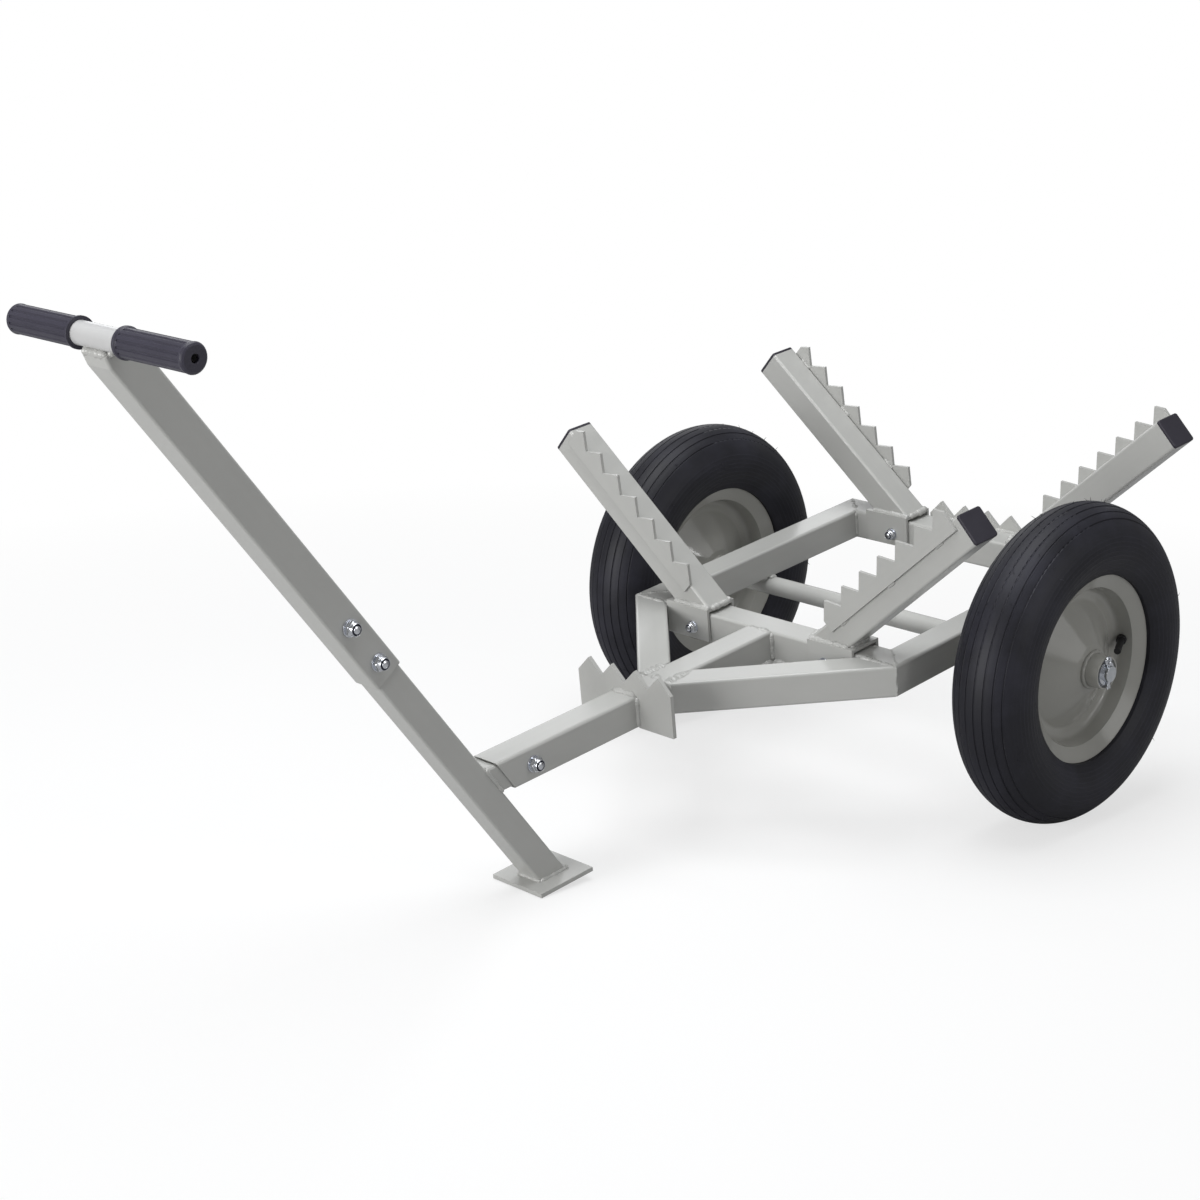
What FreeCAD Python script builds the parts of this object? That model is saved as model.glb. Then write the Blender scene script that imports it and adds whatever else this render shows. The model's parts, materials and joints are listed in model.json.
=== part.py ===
"""Two-wheeled log dolly: welded square-tube chassis, V cradle of toothed uprights and a tow handle.

Every piece is drawn in the chassis frame, in millimetres: the origin is the axle's centre, +X is the
rear, +Y the left and +Z up.  At the end the whole chassis is tipped forward until the foot plate's
front edge meets the floor, and set down with the origin under the middle of the dolly.
"""
import FreeCAD, Part
import Sketcher
import math
import os
from FreeCAD import Placement, Rotation, Vector

SIZES = {
    # chassis
    "tube_size": 40, "tube_wall": 2, "tube_corner": 3.5,
    "frame_length": 440, "frame_width": 430,
    "brace_angle": 45, "drawbar_nose": 225,
    "spike_standoff": 40, "spike_pitch": 38, "spike_teeth": 4, "spike_shoulder": 13, "spike_thickness": 5,
    "rear_spike_shoulder": 3.5, "rear_spike_gap": 6.5,
    # axle
    "axle_diameter": 25, "journal_diameter": 20, "journal_fit": 0.05, "axle_tip": 4.4,
    "hub_standoff": 36, "running_gap": 0.3,
    "axle_washer_land": 5, "axle_washer_thickness": 3,
    "pin_wire": 4, "pin_eye": 4.5, "pin_eye_wire": 2.8, "pin_leg": 9, "pin_leg_wire": 2.4, "pin_spread": 14,
    # handle
    "handle_angle": 31.8, "handle_length": 888.5,
    "foot_drop": 116, "foot_size": 82, "foot_thickness": 5,
    "stub_show": 13.5, "stub_grip": 47.5, "sleeve_start": 380, "sleeve_fit": 0.5, "leg_tail": 38,
    "cope_depth": 8, "cope_fit": 0.1, "pinch_length": 12, "pinch_depth": 3,
    "crossbar_diameter": 24, "crossbar_wall": 2, "crossbar_length": 281, "crossbar_shift": 6,
    "grip_wall": 2.6, "grip_collar": 1.4, "grip_rim": 0.5, "grip_lip": 3, "grip_end_wall": 4,
    "grip_clear": 17, "grip_vent": 9, "grip_round": 1.25, "grip_fit": 0.1,
    "flute_count": 14, "flute_width": 3.2, "flute_rise": 0.64, "flute_inset": 0.3,
    # uprights
    "lean_angle": 49, "upright_length": 279,
    "saddle_margin": 9, "saddle_thickness": 4, "saddle_drop": 43, "saddle_headroom": 3,
    "saddle_fit": 1, "saddle_gap": 0.8,
    "saw_pitch": 37.5, "saw_thickness": 4, "saw_lap": 13, "saw_rise": 3.75, "saw_foot": 17, "saw_nose": 10,
    "cap_thickness": 4, "cap_plug": 14, "cap_fit": 0.2, "cap_round": 1.5,
    # fasteners
    "handle_bolt": 10, "handle_hex": 16, "handle_head": 6.4, "handle_nut": 10, "handle_bolt_tip": 1,
    "handle_washer": 20, "handle_washer_thickness": 2,
    "sleeve_bolt_inset": 24, "sleeve_bolt_spacing": 58, "drawbar_bolt_inset": 54,
    "saddle_bolt": 8, "saddle_hex": 13, "saddle_head": 5.3, "saddle_nut": 8, "saddle_bolt_tip": 1,
    "saddle_washer": 16, "saddle_washer_thickness": 1.6, "saddle_bolt_shift": 9.5,
    "hole_fit": 0.25, "thread_fit": 0.05,
    # wheels
    "bead_seat": 203, "tyre_width": 100, "tyre_sink": 1.5, "tyre_wall": 6, "tyre_fit": 0.3, "bead_width": 10,
    "groove_count": 8, "groove_spacing": 13, "groove_width": 2.4,
    "tube_gap": 0.4, "tube_skin": 2,
    "rim_width": 66, "rim_sheet": 2.5, "flange_height": 15.5, "flange_dish": 9,
    "well_draft": 5, "well_floor": 16.5, "cone_land": 9.5, "cone_sink": 2, "collar_rise": 1, "rim_round": 8,
    "hub_length": 108, "hub_wall": 2, "hub_fit": 0.05,
    "bearing_wall": 8.5, "bearing_width": 9, "bearing_recess": 3.5,
    "valve_stem": 8.6, "valve_base": 12, "valve_length": 42.5, "valve_base_length": 10.5, "valve_fit": 0.2,
    "valve_angle": 179, "valve_offset": 9.5, "valve_tilt": 26, "valve_sink": 0.3,
}

doc = FreeCAD.newDocument("log_dolly")
sheet = doc.addObject("Spreadsheet::Sheet", "dims")
for row, (name, number) in enumerate(SIZES.items(), 1):
    sheet.set(f"A{row}", name)
    sheet.set(f"B{row}", str(number))
    sheet.setAlias(f"B{row}", name)
doc.recompute()


class Length:
    """A size kept as an expression on the sheet's cells, so that what is bound to it follows them."""

    def __init__(self, text):
        self.text = str(text)

    def join(self, sign, other):
        return Length(f"({self.text} {sign} {length(other).text})")

    def __add__(self, other):
        return self.join("+", other)

    def __sub__(self, other):
        return self.join("-", other)

    def __mul__(self, other):
        return self.join("*", other)

    def __truediv__(self, other):
        return self.join("/", other)

    def __radd__(self, other):
        return length(other) + self

    def __rsub__(self, other):
        return length(other) - self

    def __rmul__(self, other):
        return length(other) * self

    def __neg__(self):
        return 0 - self

    @property
    def value(self):
        return float(sheet.evalExpression(self.text))


def length(number):
    return number if isinstance(number, Length) else Length(number)


def sin(angle):
    return Length(f"sin({angle.text})")


def cos(angle):
    return Length(f"cos({angle.text})")


def tan(angle):
    return Length(f"tan({angle.text})")


class Dims:
    """Reads a named size: d.tube_size is the expression for that cell."""

    def __getattr__(self, name):
        return Length(f"dims.{name}")


d = Dims()
ALONG_Y = Rotation(Vector(0, 0, 1), Vector(0, 1, 0))
SQUARE = ((-1, -1), (1, -1), (1, 1), (-1, 1))
NUT_HEX_SHARE = 2 / 3
NUT_COLLAR_SHARE = 0.92
TOLERANCE = 1e-4
SIDES = {"left": 1, "right": -1}
ENDS = {"front": -1, "rear": 1}
nodes = []


def node(item, name, local=None):
    """Names a finished piece and notes where it sits in the chassis frame."""
    item.Label = name
    nodes.append((item, local or Placement()))
    return item


def at(x, y, z, rotation=None):
    return Placement(Vector(*(length(v).value for v in (x, y, z))), rotation or Rotation())


# Sketches and features

def new_body():
    return doc.addObject("PartDesign::Body", "Body")


def origin_feature(body, role):
    return next(item for item in body.Origin.OriginFeatures if item.Role == role)


def sketch_on(body, role, offset=None):
    sketch = body.newObject("Sketcher::SketchObject", "Sketch")
    sketch.AttachmentSupport = (origin_feature(body, role), [""])
    sketch.MapMode = "FlatFace"
    if offset is not None:
        sketch.setExpression("AttachmentOffset.Base.z", length(offset).text)
    return sketch


def constrain(sketch, kind, *where_and_size):
    *where, size = where_and_size
    index = sketch.addConstraint(Sketcher.Constraint(kind, *where, length(size).value))
    sketch.setExpression(f"Constraints[{index}]", length(size).text)


def pin_point(sketch, geometry, vertex, x, y):
    constrain(sketch, "DistanceX", -1, 1, geometry, vertex, x)
    constrain(sketch, "DistanceY", -1, 1, geometry, vertex, y)


def draw_polygon(sketch, points):
    corners = [Vector(length(x).value, length(y).value, 0) for x, y in points]
    following = corners[1:] + corners[:1]
    lines = [sketch.addGeometry(Part.LineSegment(a, b)) for a, b in zip(corners, following)]
    for i, (x, y) in enumerate(points):
        sketch.addConstraint(Sketcher.Constraint("Coincident", lines[i - 1], 2, lines[i], 1))
        pin_point(sketch, lines[i], 1, x, y)


def draw_circle(sketch, x, y, radius):
    centre = Vector(length(x).value, length(y).value, 0)
    circle = sketch.addGeometry(Part.Circle(centre, Vector(0, 0, 1), length(radius).value))
    pin_point(sketch, circle, 3, x, y)
    constrain(sketch, "Radius", circle, radius)


def extrude(body, kind, sketch, depth=None):
    """Pads or pockets a sketch evenly to both sides of its plane; no depth means right through."""
    feature = body.newObject(f"PartDesign::{kind}", kind)
    feature.Profile = sketch
    feature.SideType = "Symmetric"
    if depth is None:
        feature.Type = "ThroughAll"
    else:
        feature.setExpression("Length", length(depth).text)
    return feature


def revolve(body, kind, sketch):
    """Turns a sketch on the XY plane about the body's Y axis."""
    feature = body.newObject(f"PartDesign::{kind}", kind)
    feature.Profile = sketch
    feature.ReferenceAxis = (sketch, ["V_Axis"])
    feature.Angle = 360
    return feature


def fillet(body, base, chosen, radius):
    """Rounds the edges of the last feature that the test picks out."""
    doc.recompute()
    edges = [f"Edge{i}" for i, edge in enumerate(base.Shape.Edges, 1) if chosen(edge)]
    feature = body.newObject("PartDesign::Fillet", "Fillet")
    feature.Base = (base, edges)
    feature.setExpression("Radius", length(radius).text)
    return feature


def runs_along(*directions):
    def test(edge):
        if edge.Curve.TypeId != "Part::GeomLine":
            return False
        tangent = edge.tangentAt(edge.FirstParameter)
        return any(tangent.cross(way).Length < TOLERANCE for way in directions)
    return test


def drill(body, role, radius, places):
    sketch = sketch_on(body, role)
    for x, y in places:
        draw_circle(sketch, x, y, radius)
    extrude(body, "Pocket", sketch)


def tube(role, offset, outline, bore, directions, size, wall):
    """A square tube seen flat on: its outline padded to its size, its long edges rounded, its bore cut."""
    body = new_body()
    sketch = sketch_on(body, role, offset)
    draw_polygon(sketch, outline)
    solid = extrude(body, "Pad", sketch, size)
    fillet(body, solid, runs_along(*directions), d.tube_corner)
    sketch = sketch_on(body, role, offset)
    draw_polygon(sketch, bore)
    extrude(body, "Pocket", sketch, size - 2 * wall)
    return body


def raised(item, start):
    """Binds a solid's base height to a size; without one, the solid is free to be placed."""
    if start is not None:
        item.setExpression("Placement.Base.z", length(start).text)
    return item


def cylinder(radius, height, start=None):
    item = doc.addObject("Part::Cylinder", "Cylinder")
    item.setExpression("Radius", length(radius).text)
    item.setExpression("Height", length(height).text)
    return raised(item, start)


def hexagon(flats, height, start=None):
    item = doc.addObject("Part::Prism", "Hexagon")
    item.Polygon = 6
    item.setExpression("Circumradius", (flats / math.sqrt(3)).text)
    item.setExpression("Height", length(height).text)
    return raised(item, start)


def fuse(*items):
    joined = doc.addObject("Part::MultiFuse", "Fuse")
    joined.Shapes = list(items)
    return joined


def cut(base, tool):
    left = doc.addObject("Part::Cut", "Cut")
    left.Base = base
    left.Tool = tool
    return left


def ring(outer, inner, height):
    return cut(cylinder(outer / 2, height), cylinder(inner / 2, height))


def group(name, items, local=None):
    """Loose copies of one piece, kept together as one node."""
    together = doc.addObject("Part::Compound", "Group")
    together.Links = items
    return node(together, name, local)


def placed(item, placement):
    item.Placement = placement
    return item


# Levels and places that the pieces share

half_tube = d.tube_size / 2
rail_bottom = d.axle_diameter / 2
rail_middle = rail_bottom + half_tube
rail_top = rail_bottom + d.tube_size
half_length = d.frame_length / 2
half_width = d.frame_width / 2
inner_length = half_length - d.tube_size
inner_width = half_width - d.tube_size
handle_hole = d.handle_bolt / 2 + d.hole_fit
saddle_hole = d.saddle_bolt / 2 + d.hole_fit

# From the front corners the braces run to the drawbar; the spike plate, the drawbar's nose and the
# handle's foot follow one another in front of them
brace_tip = -half_length - (half_width - half_tube) / tan(d.brace_angle)
spike_place = brace_tip - d.spike_standoff
drawbar_front = spike_place - d.drawbar_nose
drawbar_bolt_x = drawbar_front + d.drawbar_bolt_inset
leg_size = d.tube_size - 2 * d.tube_wall - 2 * d.sleeve_fit
leg_rise = (rail_top + d.foot_drop) * tan(d.handle_angle)
foot_x = drawbar_front - (d.stub_show + leg_size / 2) / cos(d.handle_angle) + leg_rise


def handle_point(along, across):
    """A point of the chassis' XZ plane, measured up the handle from the foot plate and off its axis."""
    x = foot_x - along * sin(d.handle_angle) + across * cos(d.handle_angle)
    z = -d.foot_drop + along * cos(d.handle_angle) + across * sin(d.handle_angle)
    return x, z


def handle_direction(along, across=length(0)):
    """The chassis direction of a step along the handle and across it."""
    x, z = handle_point(along, across)
    foot, floor = handle_point(length(0), length(0))
    return Vector((x - foot).value, 0, (z - floor).value).normalize()


def side_rail(side):
    sign = SIDES[side]
    wall = d.tube_wall

    def mitred(inset):
        return [(-half_length + inset, sign * (half_width - inset)),
                (half_length - inset, sign * (half_width - inset)),
                (inner_length + inset, sign * (inner_width + inset)),
                (-inner_length - inset, sign * (inner_width + inset))]

    body = tube("XY_Plane", rail_middle, mitred(length(0)), mitred(wall), [Vector(1, 0, 0)],
                d.tube_size, wall)
    node(body, f"{side}_side_rail")


def cross_tube(end):
    sign = ENDS[end]
    wall = d.tube_wall

    def mitred(inset):
        return [(sign * (half_length - inset), half_width - inset),
                (sign * (half_length - inset), -half_width + inset),
                (sign * (inner_length + inset), -inner_width - inset),
                (sign * (inner_length + inset), inner_width + inset)]

    body = tube("XY_Plane", rail_middle, mitred(length(0)), mitred(wall), [Vector(0, 1, 0)],
                d.tube_size, wall)
    drill(body, "YZ_Plane", saddle_hole, [(s * saddle_bolt_y, rail_middle) for s in SIDES.values()])
    node(body, f"{end}_cross_tube")


def diagonal_brace(side):
    """Runs from a front corner of the rectangle to the drawbar's flank, cut to lie flat on both."""
    sign = SIDES[side]

    def slanted(near, far):
        corner = [(-half_length, half_width - near / cos(d.brace_angle)),
                  (brace_tip + near / sin(d.brace_angle), half_tube),
                  (brace_tip + far / sin(d.brace_angle), half_tube),
                  (-half_length, half_width - far / cos(d.brace_angle))]
        return [(x, sign * y) for x, y in corner]

    angle = math.radians(d.brace_angle.value)
    body = tube("XY_Plane", rail_middle, slanted(length(0), d.tube_size),
                slanted(d.tube_wall, d.tube_size - d.tube_wall),
                [Vector(math.cos(angle), sign * math.sin(angle), 0)], d.tube_size, d.tube_wall)
    node(body, f"{side}_diagonal_brace")


def drawbar():
    """Its front end is cut parallel to the handle."""
    def outline(inset):
        def front(z):
            return drawbar_front + (rail_top - z) * tan(d.handle_angle)
        low, high = rail_bottom + inset, rail_top - inset
        return [(front(high), high), (-half_length, high), (-half_length, low), (front(low), low)]

    body = tube("XZ_Plane", None, outline(length(0)), outline(d.tube_wall), [Vector(1, 0, 0)],
                d.tube_size, d.tube_wall)
    drill(body, "XZ_Plane", handle_hole, [(drawbar_bolt_x, rail_middle)])
    node(body, "drawbar_tube")


def spike_plate(end, place, half, shoulder, foot):
    """A plate across the dolly with its teeth upwards; foot is its lower edge, from left to right."""
    body = new_body()
    sketch = sketch_on(body, "YZ_Plane", place)
    pitch = 2 * half / d.spike_teeth
    valley = rail_top + shoulder
    points = foot + [(-half, valley)]
    for tooth in range(int(d.spike_teeth.value)):
        start = -half + tooth * pitch
        points.append((start + pitch / 2, valley + pitch / 2))
        points.append((start + pitch, valley))
    draw_polygon(sketch, points)
    extrude(body, "Pad", sketch, d.spike_thickness)
    node(body, f"{end}_spike_plate")


def spike_plates():
    """The front one stands astride the drawbar, the rear one on the rear cross tube's back."""
    half = d.spike_pitch * d.spike_teeth / 2
    astride = [(half, rail_bottom), (half_tube, rail_bottom), (half_tube, rail_top),
               (-half_tube, rail_top), (-half_tube, rail_bottom), (-half, rail_bottom)]
    spike_plate("front", spike_place, half, d.spike_shoulder, astride)
    half = saddle_outer_end - saddle_length - d.rear_spike_gap
    spike_plate("rear", half_length + d.spike_thickness / 2, half, d.rear_spike_shoulder,
                [(half, rail_bottom), (-half, rail_bottom)])


# Where the wheels sit on the axle, measured outwards from the chassis' middle

hub_half = d.hub_length / 2
wheel_middle = half_width + d.hub_standoff + hub_half
bearing_face = hub_half - d.bearing_recess
inner_washer = wheel_middle - bearing_face - d.running_gap - d.axle_washer_thickness
outer_washer = wheel_middle + bearing_face + d.running_gap
pin_place = outer_washer + d.axle_washer_thickness + d.pin_wire / 2 + d.running_gap


def axle():
    """Thick under the rails, with a thinner journal for each wheel and a hole for its split pin."""
    body = new_body()
    sketch = sketch_on(body, "XY_Plane")
    thick, thin = d.axle_diameter / 2, d.journal_diameter / 2
    tip = pin_place + d.axle_tip
    draw_polygon(sketch, [(0, -tip), (thin, -tip), (thin, -inner_washer), (thick, -inner_washer),
                          (thick, inner_washer), (thin, inner_washer), (thin, tip), (0, tip)])
    revolve(body, "Revolution", sketch)
    drill(body, "XY_Plane", d.pin_wire / 2 + d.hole_fit, [(0, s * pin_place) for s in SIDES.values()])
    node(body, "axle_shaft")


# Handle

def lower_handle_tube():
    """Cut square at the top, inside the sleeve, and level at the bottom, on the foot plate."""
    top = d.sleeve_start + d.sleeve_bolt_inset + d.sleeve_bolt_spacing + d.leg_tail

    def outline(inset):
        edge = leg_size / 2 - inset
        foot = edge / cos(d.handle_angle)
        return [(foot_x - foot, -d.foot_drop), (foot_x + foot, -d.foot_drop),
                handle_point(top, edge), handle_point(top, -edge)]

    body = tube("XZ_Plane", None, outline(length(0)), outline(d.tube_wall), [handle_direction(top)],
                leg_size, d.tube_wall)
    drill(body, "XZ_Plane", handle_hole, sleeve_bolts())
    node(body, "lower_handle_tube")


def sleeve_bolts():
    first = d.sleeve_start + d.sleeve_bolt_inset
    return [handle_point(first, length(0)), handle_point(first + d.sleeve_bolt_spacing, length(0))]


def upper_handle_tube():
    """Slides over the lower tube; its top is drawn in a little and hollowed to take the crossbar."""
    top = d.handle_length - d.cope_depth

    def outline(inset):
        edge = half_tube - inset
        mouth = edge - d.pinch_depth
        return [handle_point(d.sleeve_start, -edge), handle_point(d.sleeve_start, edge),
                handle_point(top - d.pinch_length, edge), handle_point(top, mouth),
                handle_point(top, -mouth), handle_point(top - d.pinch_length, -edge)]

    directions = [handle_direction(d.pinch_length, across)
                  for across in (length(0), d.pinch_depth, -d.pinch_depth)]
    body = tube("XZ_Plane", None, outline(length(0)), outline(d.tube_wall), directions,
                d.tube_size, d.tube_wall)
    drill(body, "XZ_Plane", handle_hole, sleeve_bolts())
    drill(body, "XZ_Plane", d.crossbar_diameter / 2 + d.cope_fit, [handle_point(d.handle_length, length(0))])
    node(body, "upper_handle_tube")


def foot_plate():
    body = new_body()
    sketch = sketch_on(body, "XY_Plane", -d.foot_drop - d.foot_thickness / 2)
    half = d.foot_size / 2
    draw_polygon(sketch, [(foot_x + sx * half, sy * half) for sx, sy in SQUARE])
    extrude(body, "Pad", sketch, d.foot_thickness)
    node(body, "foot_plate")


def drawbar_stub():
    """Stands off the back of the lower handle tube and slides into the drawbar."""
    def back_of_leg(z):
        rise = z + d.foot_drop
        return foot_x - rise * tan(d.handle_angle) + leg_size / 2 / cos(d.handle_angle)

    def outline(inset):
        low, high = rail_middle - leg_size / 2 + inset, rail_middle + leg_size / 2 - inset
        rear = drawbar_bolt_x + d.stub_grip
        return [(back_of_leg(low), low), (rear, low), (rear, high), (back_of_leg(high), high)]

    body = tube("XZ_Plane", None, outline(length(0)), outline(d.tube_wall), [Vector(1, 0, 0)],
                leg_size, d.tube_wall)
    drill(body, "XZ_Plane", handle_hole, [(drawbar_bolt_x, rail_middle)])
    node(body, "drawbar_stub")


def crossbar_place(turn=None):
    """The crossbar's middle stands a little to the right of the handle's."""
    x, z = handle_point(d.handle_length, length(0))
    return at(x, -d.crossbar_shift, z, turn)


def crossbar():
    body = new_body()
    sketch = sketch_on(body, "XZ_Plane")
    draw_circle(sketch, 0, 0, d.crossbar_diameter / 2)
    draw_circle(sketch, 0, 0, d.crossbar_diameter / 2 - d.crossbar_wall)
    extrude(body, "Pad", sketch, d.crossbar_length)
    node(body, "handle_crossbar", crossbar_place())


def grip(side):
    """A fluted sleeve with a collar, a slightly raised rim and a vented end wall, drawn pointing along +Y."""
    body = new_body()
    sketch = sketch_on(body, "XY_Plane")
    bore = d.crossbar_diameter / 2 + d.grip_fit
    tip = d.crossbar_length / 2 + d.grip_fit + d.grip_end_wall
    start = half_tube + d.grip_clear
    sleeve = d.crossbar_diameter / 2 + d.grip_wall
    collar, rim, lip = sleeve + d.grip_collar, sleeve + d.grip_rim, d.grip_lip
    vent, inside = d.grip_vent / 2, tip - d.grip_end_wall
    draw_polygon(sketch, [(bore, start), (collar, start), (collar, start + lip), (sleeve, start + 1.5 * lip),
                          (sleeve, tip - 2 * lip), (rim, tip - lip),
                          (rim - d.grip_round, tip - d.grip_round), (rim - lip, tip),
                          (vent, tip), (vent, inside), (bore, inside)])
    revolve(body, "Revolution", sketch)
    flute_length = tip - start - 3.5 * lip - 2 * d.flute_inset
    sketch = sketch_on(body, "XZ_Plane", -(start + tip - lip / 2) / 2)
    draw_circle(sketch, sleeve + d.flute_rise, 0, d.flute_width / 2)
    flute = extrude(body, "Pocket", sketch, flute_length)
    pattern = body.newObject("PartDesign::PolarPattern", "Flutes")
    pattern.Originals = [flute]
    pattern.Axis = (origin_feature(body, "Y_Axis"), [""])
    pattern.Angle = 360
    pattern.setExpression("Occurrences", d.flute_count.text)
    body.Tip = pattern
    turn = Rotation(Vector(0, 0, 1), 0 if side == "left" else 180)
    node(body, f"{side}_grip", crossbar_place(turn))


# Uprights: each is drawn along +X from the middle of its saddle's top, with +Y towards the cradle

saddle_top = rail_top + d.saddle_headroom + d.saddle_thickness
saddle_outer = half_tube + d.saddle_fit + d.saddle_thickness
upright_foot = half_tube / cos(d.lean_angle)
saddle_length = 2 * upright_foot + d.saddle_margin
brace_foot = half_width - d.tube_size / cos(d.brace_angle)
saddle_outer_end = brace_foot - (saddle_outer - half_tube) * tan(d.brace_angle) - d.saddle_gap
saddle_middle = saddle_outer_end - saddle_length / 2
upright_place_y = saddle_outer_end - saddle_length + upright_foot
saddle_bolt_y = saddle_middle - d.saddle_bolt_shift
cross_middle = half_length - half_tube


def upright_place(side, end):
    sign = SIDES[side]
    lean = math.radians(d.lean_angle.value)
    along = Vector(0, sign * math.sin(lean), math.cos(lean))
    inward = Vector(0, -sign * math.cos(lean), math.sin(lean))
    turn = Rotation(along, inward, Vector(sign, 0, 0), "XYZ")
    return at(ENDS[end] * cross_middle, sign * upright_place_y, saddle_top, turn)


def upright_tube(side, end):
    """Cut level at the bottom, on its saddle, and square at the top."""
    def outline(inset):
        edge = half_tube - inset
        skew = edge * tan(d.lean_angle)
        return [(-skew, edge), (d.upright_length, edge), (d.upright_length, -edge), (skew, -edge)]

    body = tube("XY_Plane", None, outline(length(0)), outline(d.tube_wall), [Vector(1, 0, 0)],
                d.tube_size, d.tube_wall)
    node(body, f"{end}_{side}_upright_tube", upright_place(side, end))


def saw_plate(side, end):
    """A toothed strip on the upright's outer face; its teeth stand above the face that carries the log."""
    body = new_body()
    outward = SIDES[side] * ENDS[end]
    sketch = sketch_on(body, "XY_Plane", outward * (half_tube + d.saw_thickness / 2))
    edge = half_tube - d.saw_lap
    valley = half_tube + d.saw_rise
    tip = valley + d.saw_pitch / 2
    points = [(d.saw_foot, edge), (d.saw_foot, valley)]
    teeth = int((d.upright_length - d.saw_foot - d.saw_nose).value / d.saw_pitch.value + 0.5)
    for tooth in range(teeth):
        middle = d.saw_foot + (tooth + 0.5) * d.saw_pitch
        points.append((middle, tip))
        if tooth < teeth - 1:
            points.append((middle + d.saw_pitch / 2, valley))
    points += [(middle + d.saw_nose, tip - d.saw_nose), (middle + d.saw_nose, edge)]
    draw_polygon(sketch, points)
    extrude(body, "Pad", sketch, d.saw_thickness)
    node(body, f"{end}_{side}_saw_plate", upright_place(side, end))


def end_cap(side, end):
    """A plug in the upright's mouth under a flat head whose corners are the tube's."""
    body = new_body()

    def square(half, middle, depth):
        sketch = sketch_on(body, "YZ_Plane", d.upright_length + middle)
        draw_polygon(sketch, [(sx * half, sy * half) for sx, sy in SQUARE])
        return extrude(body, "Pad", sketch, depth)

    head = square(half_tube, d.cap_thickness / 2, d.cap_thickness)
    far = (d.upright_length + d.cap_thickness).value

    def on_top(edge):
        return edge.BoundBox.XMin > far - TOLERANCE

    head = fillet(body, head, runs_along(Vector(1, 0, 0)), d.tube_corner)
    fillet(body, head, on_top, d.cap_round)
    square(half_tube - d.tube_wall - d.cap_fit, -d.cap_plug / 2, d.cap_plug)
    node(body, f"{end}_{side}_end_cap", upright_place(side, end))


def saddle(side, end):
    """An inverted channel over the cross tube, held by one bolt through its legs."""
    sign = SIDES[side]
    body = new_body()
    sketch = sketch_on(body, "XZ_Plane")
    middle = ENDS[end] * cross_middle
    inner = half_tube + d.saddle_fit
    outer = saddle_outer
    roof = saddle_top - d.saddle_thickness
    low = saddle_top - d.saddle_drop
    draw_polygon(sketch, [(middle - outer, low), (middle - inner, low), (middle - inner, roof),
                          (middle + inner, roof), (middle + inner, low), (middle + outer, low),
                          (middle + outer, saddle_top), (middle - outer, saddle_top)])
    extrude(body, "Pad", sketch, saddle_length)
    drill(body, "YZ_Plane", saddle_hole, [(-sign * d.saddle_bolt_shift, rail_middle)])
    node(body, f"{end}_{side}_saddle", at(0, sign * saddle_middle, 0))


# Fasteners: each is drawn along +Z, with its seat at zero

def hex_bolt(diameter, flats, head, shank):
    return fuse(hexagon(flats, head, -head), cylinder(diameter / 2, shank))


def lock_nut(diameter, flats, height):
    """A hexagon with a round collar above it."""
    body = fuse(hexagon(flats, height * NUT_HEX_SHARE), cylinder(flats * NUT_COLLAR_SHARE / 2, height))
    return cut(body, cylinder(diameter / 2 + d.thread_fit, height))


def bolt_sets(prefix, kind, places, turn, clamped):
    """A bolt, its two washers and its nut at each place; the head's seat lies half the clamped width back."""
    diameter, flats = getattr(d, f"{kind}_bolt"), getattr(d, f"{kind}_hex")
    head, nut = getattr(d, f"{kind}_head"), getattr(d, f"{kind}_nut")
    tip = getattr(d, f"{kind}_bolt_tip")
    washer, thick = getattr(d, f"{kind}_washer"), getattr(d, f"{kind}_washer_thickness")
    seat = clamped / 2 + thick
    bolts, washers, nuts = [], [], []
    for place in places:
        def along(offset):
            return place.multiply(Placement(Vector(), turn)).multiply(at(0, 0, offset))
        bolts.append(placed(hex_bolt(diameter, flats, head, 2 * seat + nut + tip), along(-seat)))
        nuts.append(placed(lock_nut(diameter, flats, nut), along(seat)))
        for offset in (-seat, clamped / 2):
            washers.append(placed(ring(washer, diameter + 2 * d.hole_fit, thick), along(offset)))
    many = "s" if len(places) > 1 else ""
    group(f"{prefix}_bolt{many}", bolts)
    group(f"{prefix}_nut{many}", nuts)
    group(f"{prefix}_washers", washers)


def fasteners():
    nuts_to_right = Rotation(Vector(0, 0, 1), Vector(0, -1, 0))
    nuts_to_front = Rotation(Vector(0, 0, 1), Vector(-1, 0, 0))
    bolt_sets("handle", "handle", [at(x, 0, z) for x, z in sleeve_bolts()], nuts_to_right, d.tube_size)
    bolt_sets("drawbar", "handle", [at(drawbar_bolt_x, 0, rail_middle)], nuts_to_right, d.tube_size)
    saddle_places = [at(e * cross_middle, s * saddle_bolt_y, rail_middle)
                     for e in ENDS.values() for s in SIDES.values()]
    bolt_sets("saddle", "saddle", saddle_places, nuts_to_front, 2 * saddle_outer)


# Wheels: each is drawn about the Y axis, with +Y pointing away from the dolly

def wheel_place(side):
    turn = Rotation(Vector(0, 0, 1), 0 if side == "left" else 180)
    return at(0, SIDES[side] * wheel_middle, 0, turn)


seat_radius = d.bead_seat / 2
flange = seat_radius + d.flange_height
half_rim = d.rim_width / 2
section = d.tyre_width / 2
tyre_ring = seat_radius + section - d.tyre_sink
cavity = section - d.tyre_wall
hub_radius = d.journal_diameter / 2 + d.bearing_wall + d.hub_wall


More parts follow.
